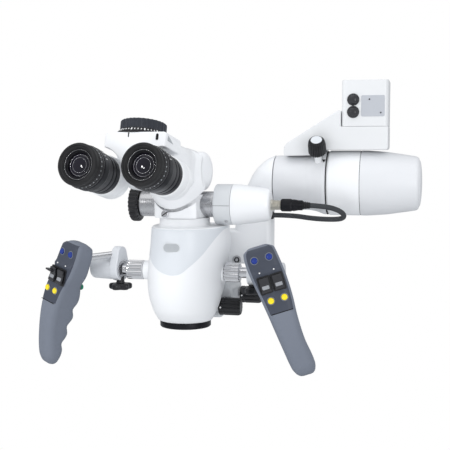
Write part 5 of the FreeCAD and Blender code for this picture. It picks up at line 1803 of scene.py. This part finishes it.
@dataclass
class Studio:
    """Camera, floor, backdrop colour and lights, in metres."""

    azimuth: float = math.radians(12.5)
    elevation: float = math.radians(4.5)
    distance: float = 1.0
    aim: tuple[float, float] = (0.04345, 0.0495)
    lens: float = 72.72
    sensor: float = 36.0
    ambient: float = 0.98
    mirrored: float = 0.42
    floor_half: float = 6.0
    floor_z: float = -0.75
    middle: Point = (-0.16, -0.05, -0.17)

    def build(self) -> None:
        """Build the whole studio."""
        bpy.context.scene.view_settings.view_transform = "Standard"
        self.build_camera()
        self.build_floor()
        self.build_world()
        self.soft_box("overhead", (-0.15, -0.35, 0.95), 0.9, 1.6)
        self.soft_box("left_front", (-0.95, -0.85, 0.20), 0.6, 2.9, mirrored=False)
        self.soft_box("right_front", (0.85, -0.95, 0.10), 0.5, 2.7)
        self.soft_box("low_front", (-0.10, -0.80, -0.34), 0.5, 1.5, mirrored=False)
        self.soft_box("catch_left", (-0.66, -0.95, 0.44), 0.05, 0.35)
        self.soft_box("catch_right", (-0.58, -1.00, 0.38), 0.05, 0.35)

    def build_camera(self) -> None:
        """The camera at the photograph's viewing angle."""
        ca, sa = math.cos(self.azimuth), math.sin(self.azimuth)
        ce, se = math.cos(self.elevation), math.sin(self.elevation)
        right = Vector((ca, sa, 0.0))
        up = Vector((-sa * se, ca * se, ce))
        back = Vector((sa * ce, -ca * ce, se))
        spot = -ROW_ORIGIN * MM + right * self.aim[0] + up * self.aim[1] + back * self.distance
        data = bpy.data.cameras.new("camera")
        data.lens = self.lens
        data.sensor_width = self.sensor
        data.sensor_fit = "HORIZONTAL"
        camera = link("camera", data)
        camera.matrix_world = Matrix.Translation(spot) @ Matrix((right, up, back)).transposed().to_4x4()
        bpy.context.scene.camera = camera

    def build_floor(self) -> None:
        """A pale floor well below, as the microscope hangs; the camera sees it as plain white."""
        shader = Shader("floor_paint")
        shader.set(Base_Color=(0.48, 0.49, 0.50), Roughness=0.9)
        seen = shader.node("ShaderNodeLightPath", output="Is Camera Ray")
        white = shader.node("ShaderNodeEmission", {}, {"Color": (1.0, 1.0, 1.0), "Strength": 1.0})
        lit = Socket(shader, shader.bsdf.outputs[0])
        mixed = shader.node("ShaderNodeMixShader", {}, {0: seen, 1: lit, 2: white})
        shader.feed(shader.output.inputs["Surface"], mixed)
        form = bmesh.new()
        form.faces.new([form.verts.new((x * self.floor_half, y * self.floor_half, self.floor_z))
                        for x, y in ((-1, -1), (1, -1), (1, 1), (-1, 1))])
        new_object("floor", form, shader.material)

    def build_world(self) -> None:
        """A white world to the camera and a softer one for light."""
        world = bpy.data.worlds.new("studio")
        bpy.context.scene.world = world
        world.use_nodes = True
        tree = world.node_tree
        tree.nodes.clear()
        path = tree.nodes.new("ShaderNodeLightPath")
        last = self.backdrop(tree, self.ambient)
        for ray, strength in (("Is Glossy Ray", self.mirrored), ("Is Camera Ray", 1.0)):
            mix = tree.nodes.new("ShaderNodeMixShader")
            tree.links.new(path.outputs[ray], mix.inputs[0])
            tree.links.new(last, mix.inputs[1])
            tree.links.new(self.backdrop(tree, strength), mix.inputs[2])
            last = mix.outputs[0]
        tree.links.new(last, tree.nodes.new("ShaderNodeOutputWorld").inputs[0])

    def backdrop(self, tree: bpy.types.NodeTree, strength: float) -> bpy.types.NodeSocket:
        """An even backdrop of one strength; the camera's own, of strength 1, is pure white."""
        node = tree.nodes.new("ShaderNodeBackground")
        node.inputs[0].default_value = (1.0, 1.0, 1.0, 1.0) if strength == 1.0 else (0.95, 0.97, 1.0, 1.0)
        node.inputs[1].default_value = strength
        return node.outputs[0]

    def soft_box(self, name: str, spot: Point, size: float, power: float, mirrored: bool = True) -> None:
        """A square area light that points at the middle of the microscope.

        Args:
            name: Its name.
            spot: Where it stands, from the microscope's middle.
            size: Its side.
            power: Watts.
            mirrored: False to keep it out of reflections.
        """
        data = bpy.data.lights.new(name, "AREA")
        data.size = size
        data.energy = power
        lamp = link(name, data)
        lamp.visible_glossy = mirrored
        lamp.location = Vector(self.middle) + Vector(spot)
        lamp.rotation_euler = (-Vector(spot)).to_track_quat("-Z", "Y").to_euler()


def dress_carried_nodes() -> None:
    """Finish the CAD nodes that show as they are."""
    for name, look in (("mount_bush", Look.STEEL_UP), ("arm_shafts", Look.CHROME),
                       ("zoom_carriage", Look.ANODISED), ("splitter_prism", Look.LENS)):
        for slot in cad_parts[name].material_slots:
            slot.material = look.value.build()


def main() -> None:
    """Build the microscope and its studio."""
    Studio().build()
    builders = [Suspension(), CarrierArm(), HeadBody(), LampHousing(), PortsAndCamera(), CameraCable(),
                TubeBase(), TubeHead(), DistanceDial(), Eyepiece(name="left", side=-1),
                Eyepiece(name="right", side=1),
                GripBracket(name="left", side=-1, yaw=math.radians(-16.0), shift=2.0),
                GripBracket(name="right", side=1), LEFT_GRIP, RIGHT_GRIP]
    for builder in builders:
        builder.build()
        LOG.info("built %s %s", type(builder).__name__, getattr(builder, "name", ""))
    dress_carried_nodes()


if __name__ == "__main__":
    logging.basicConfig(level=logging.INFO, format="%(message)s")
    main()
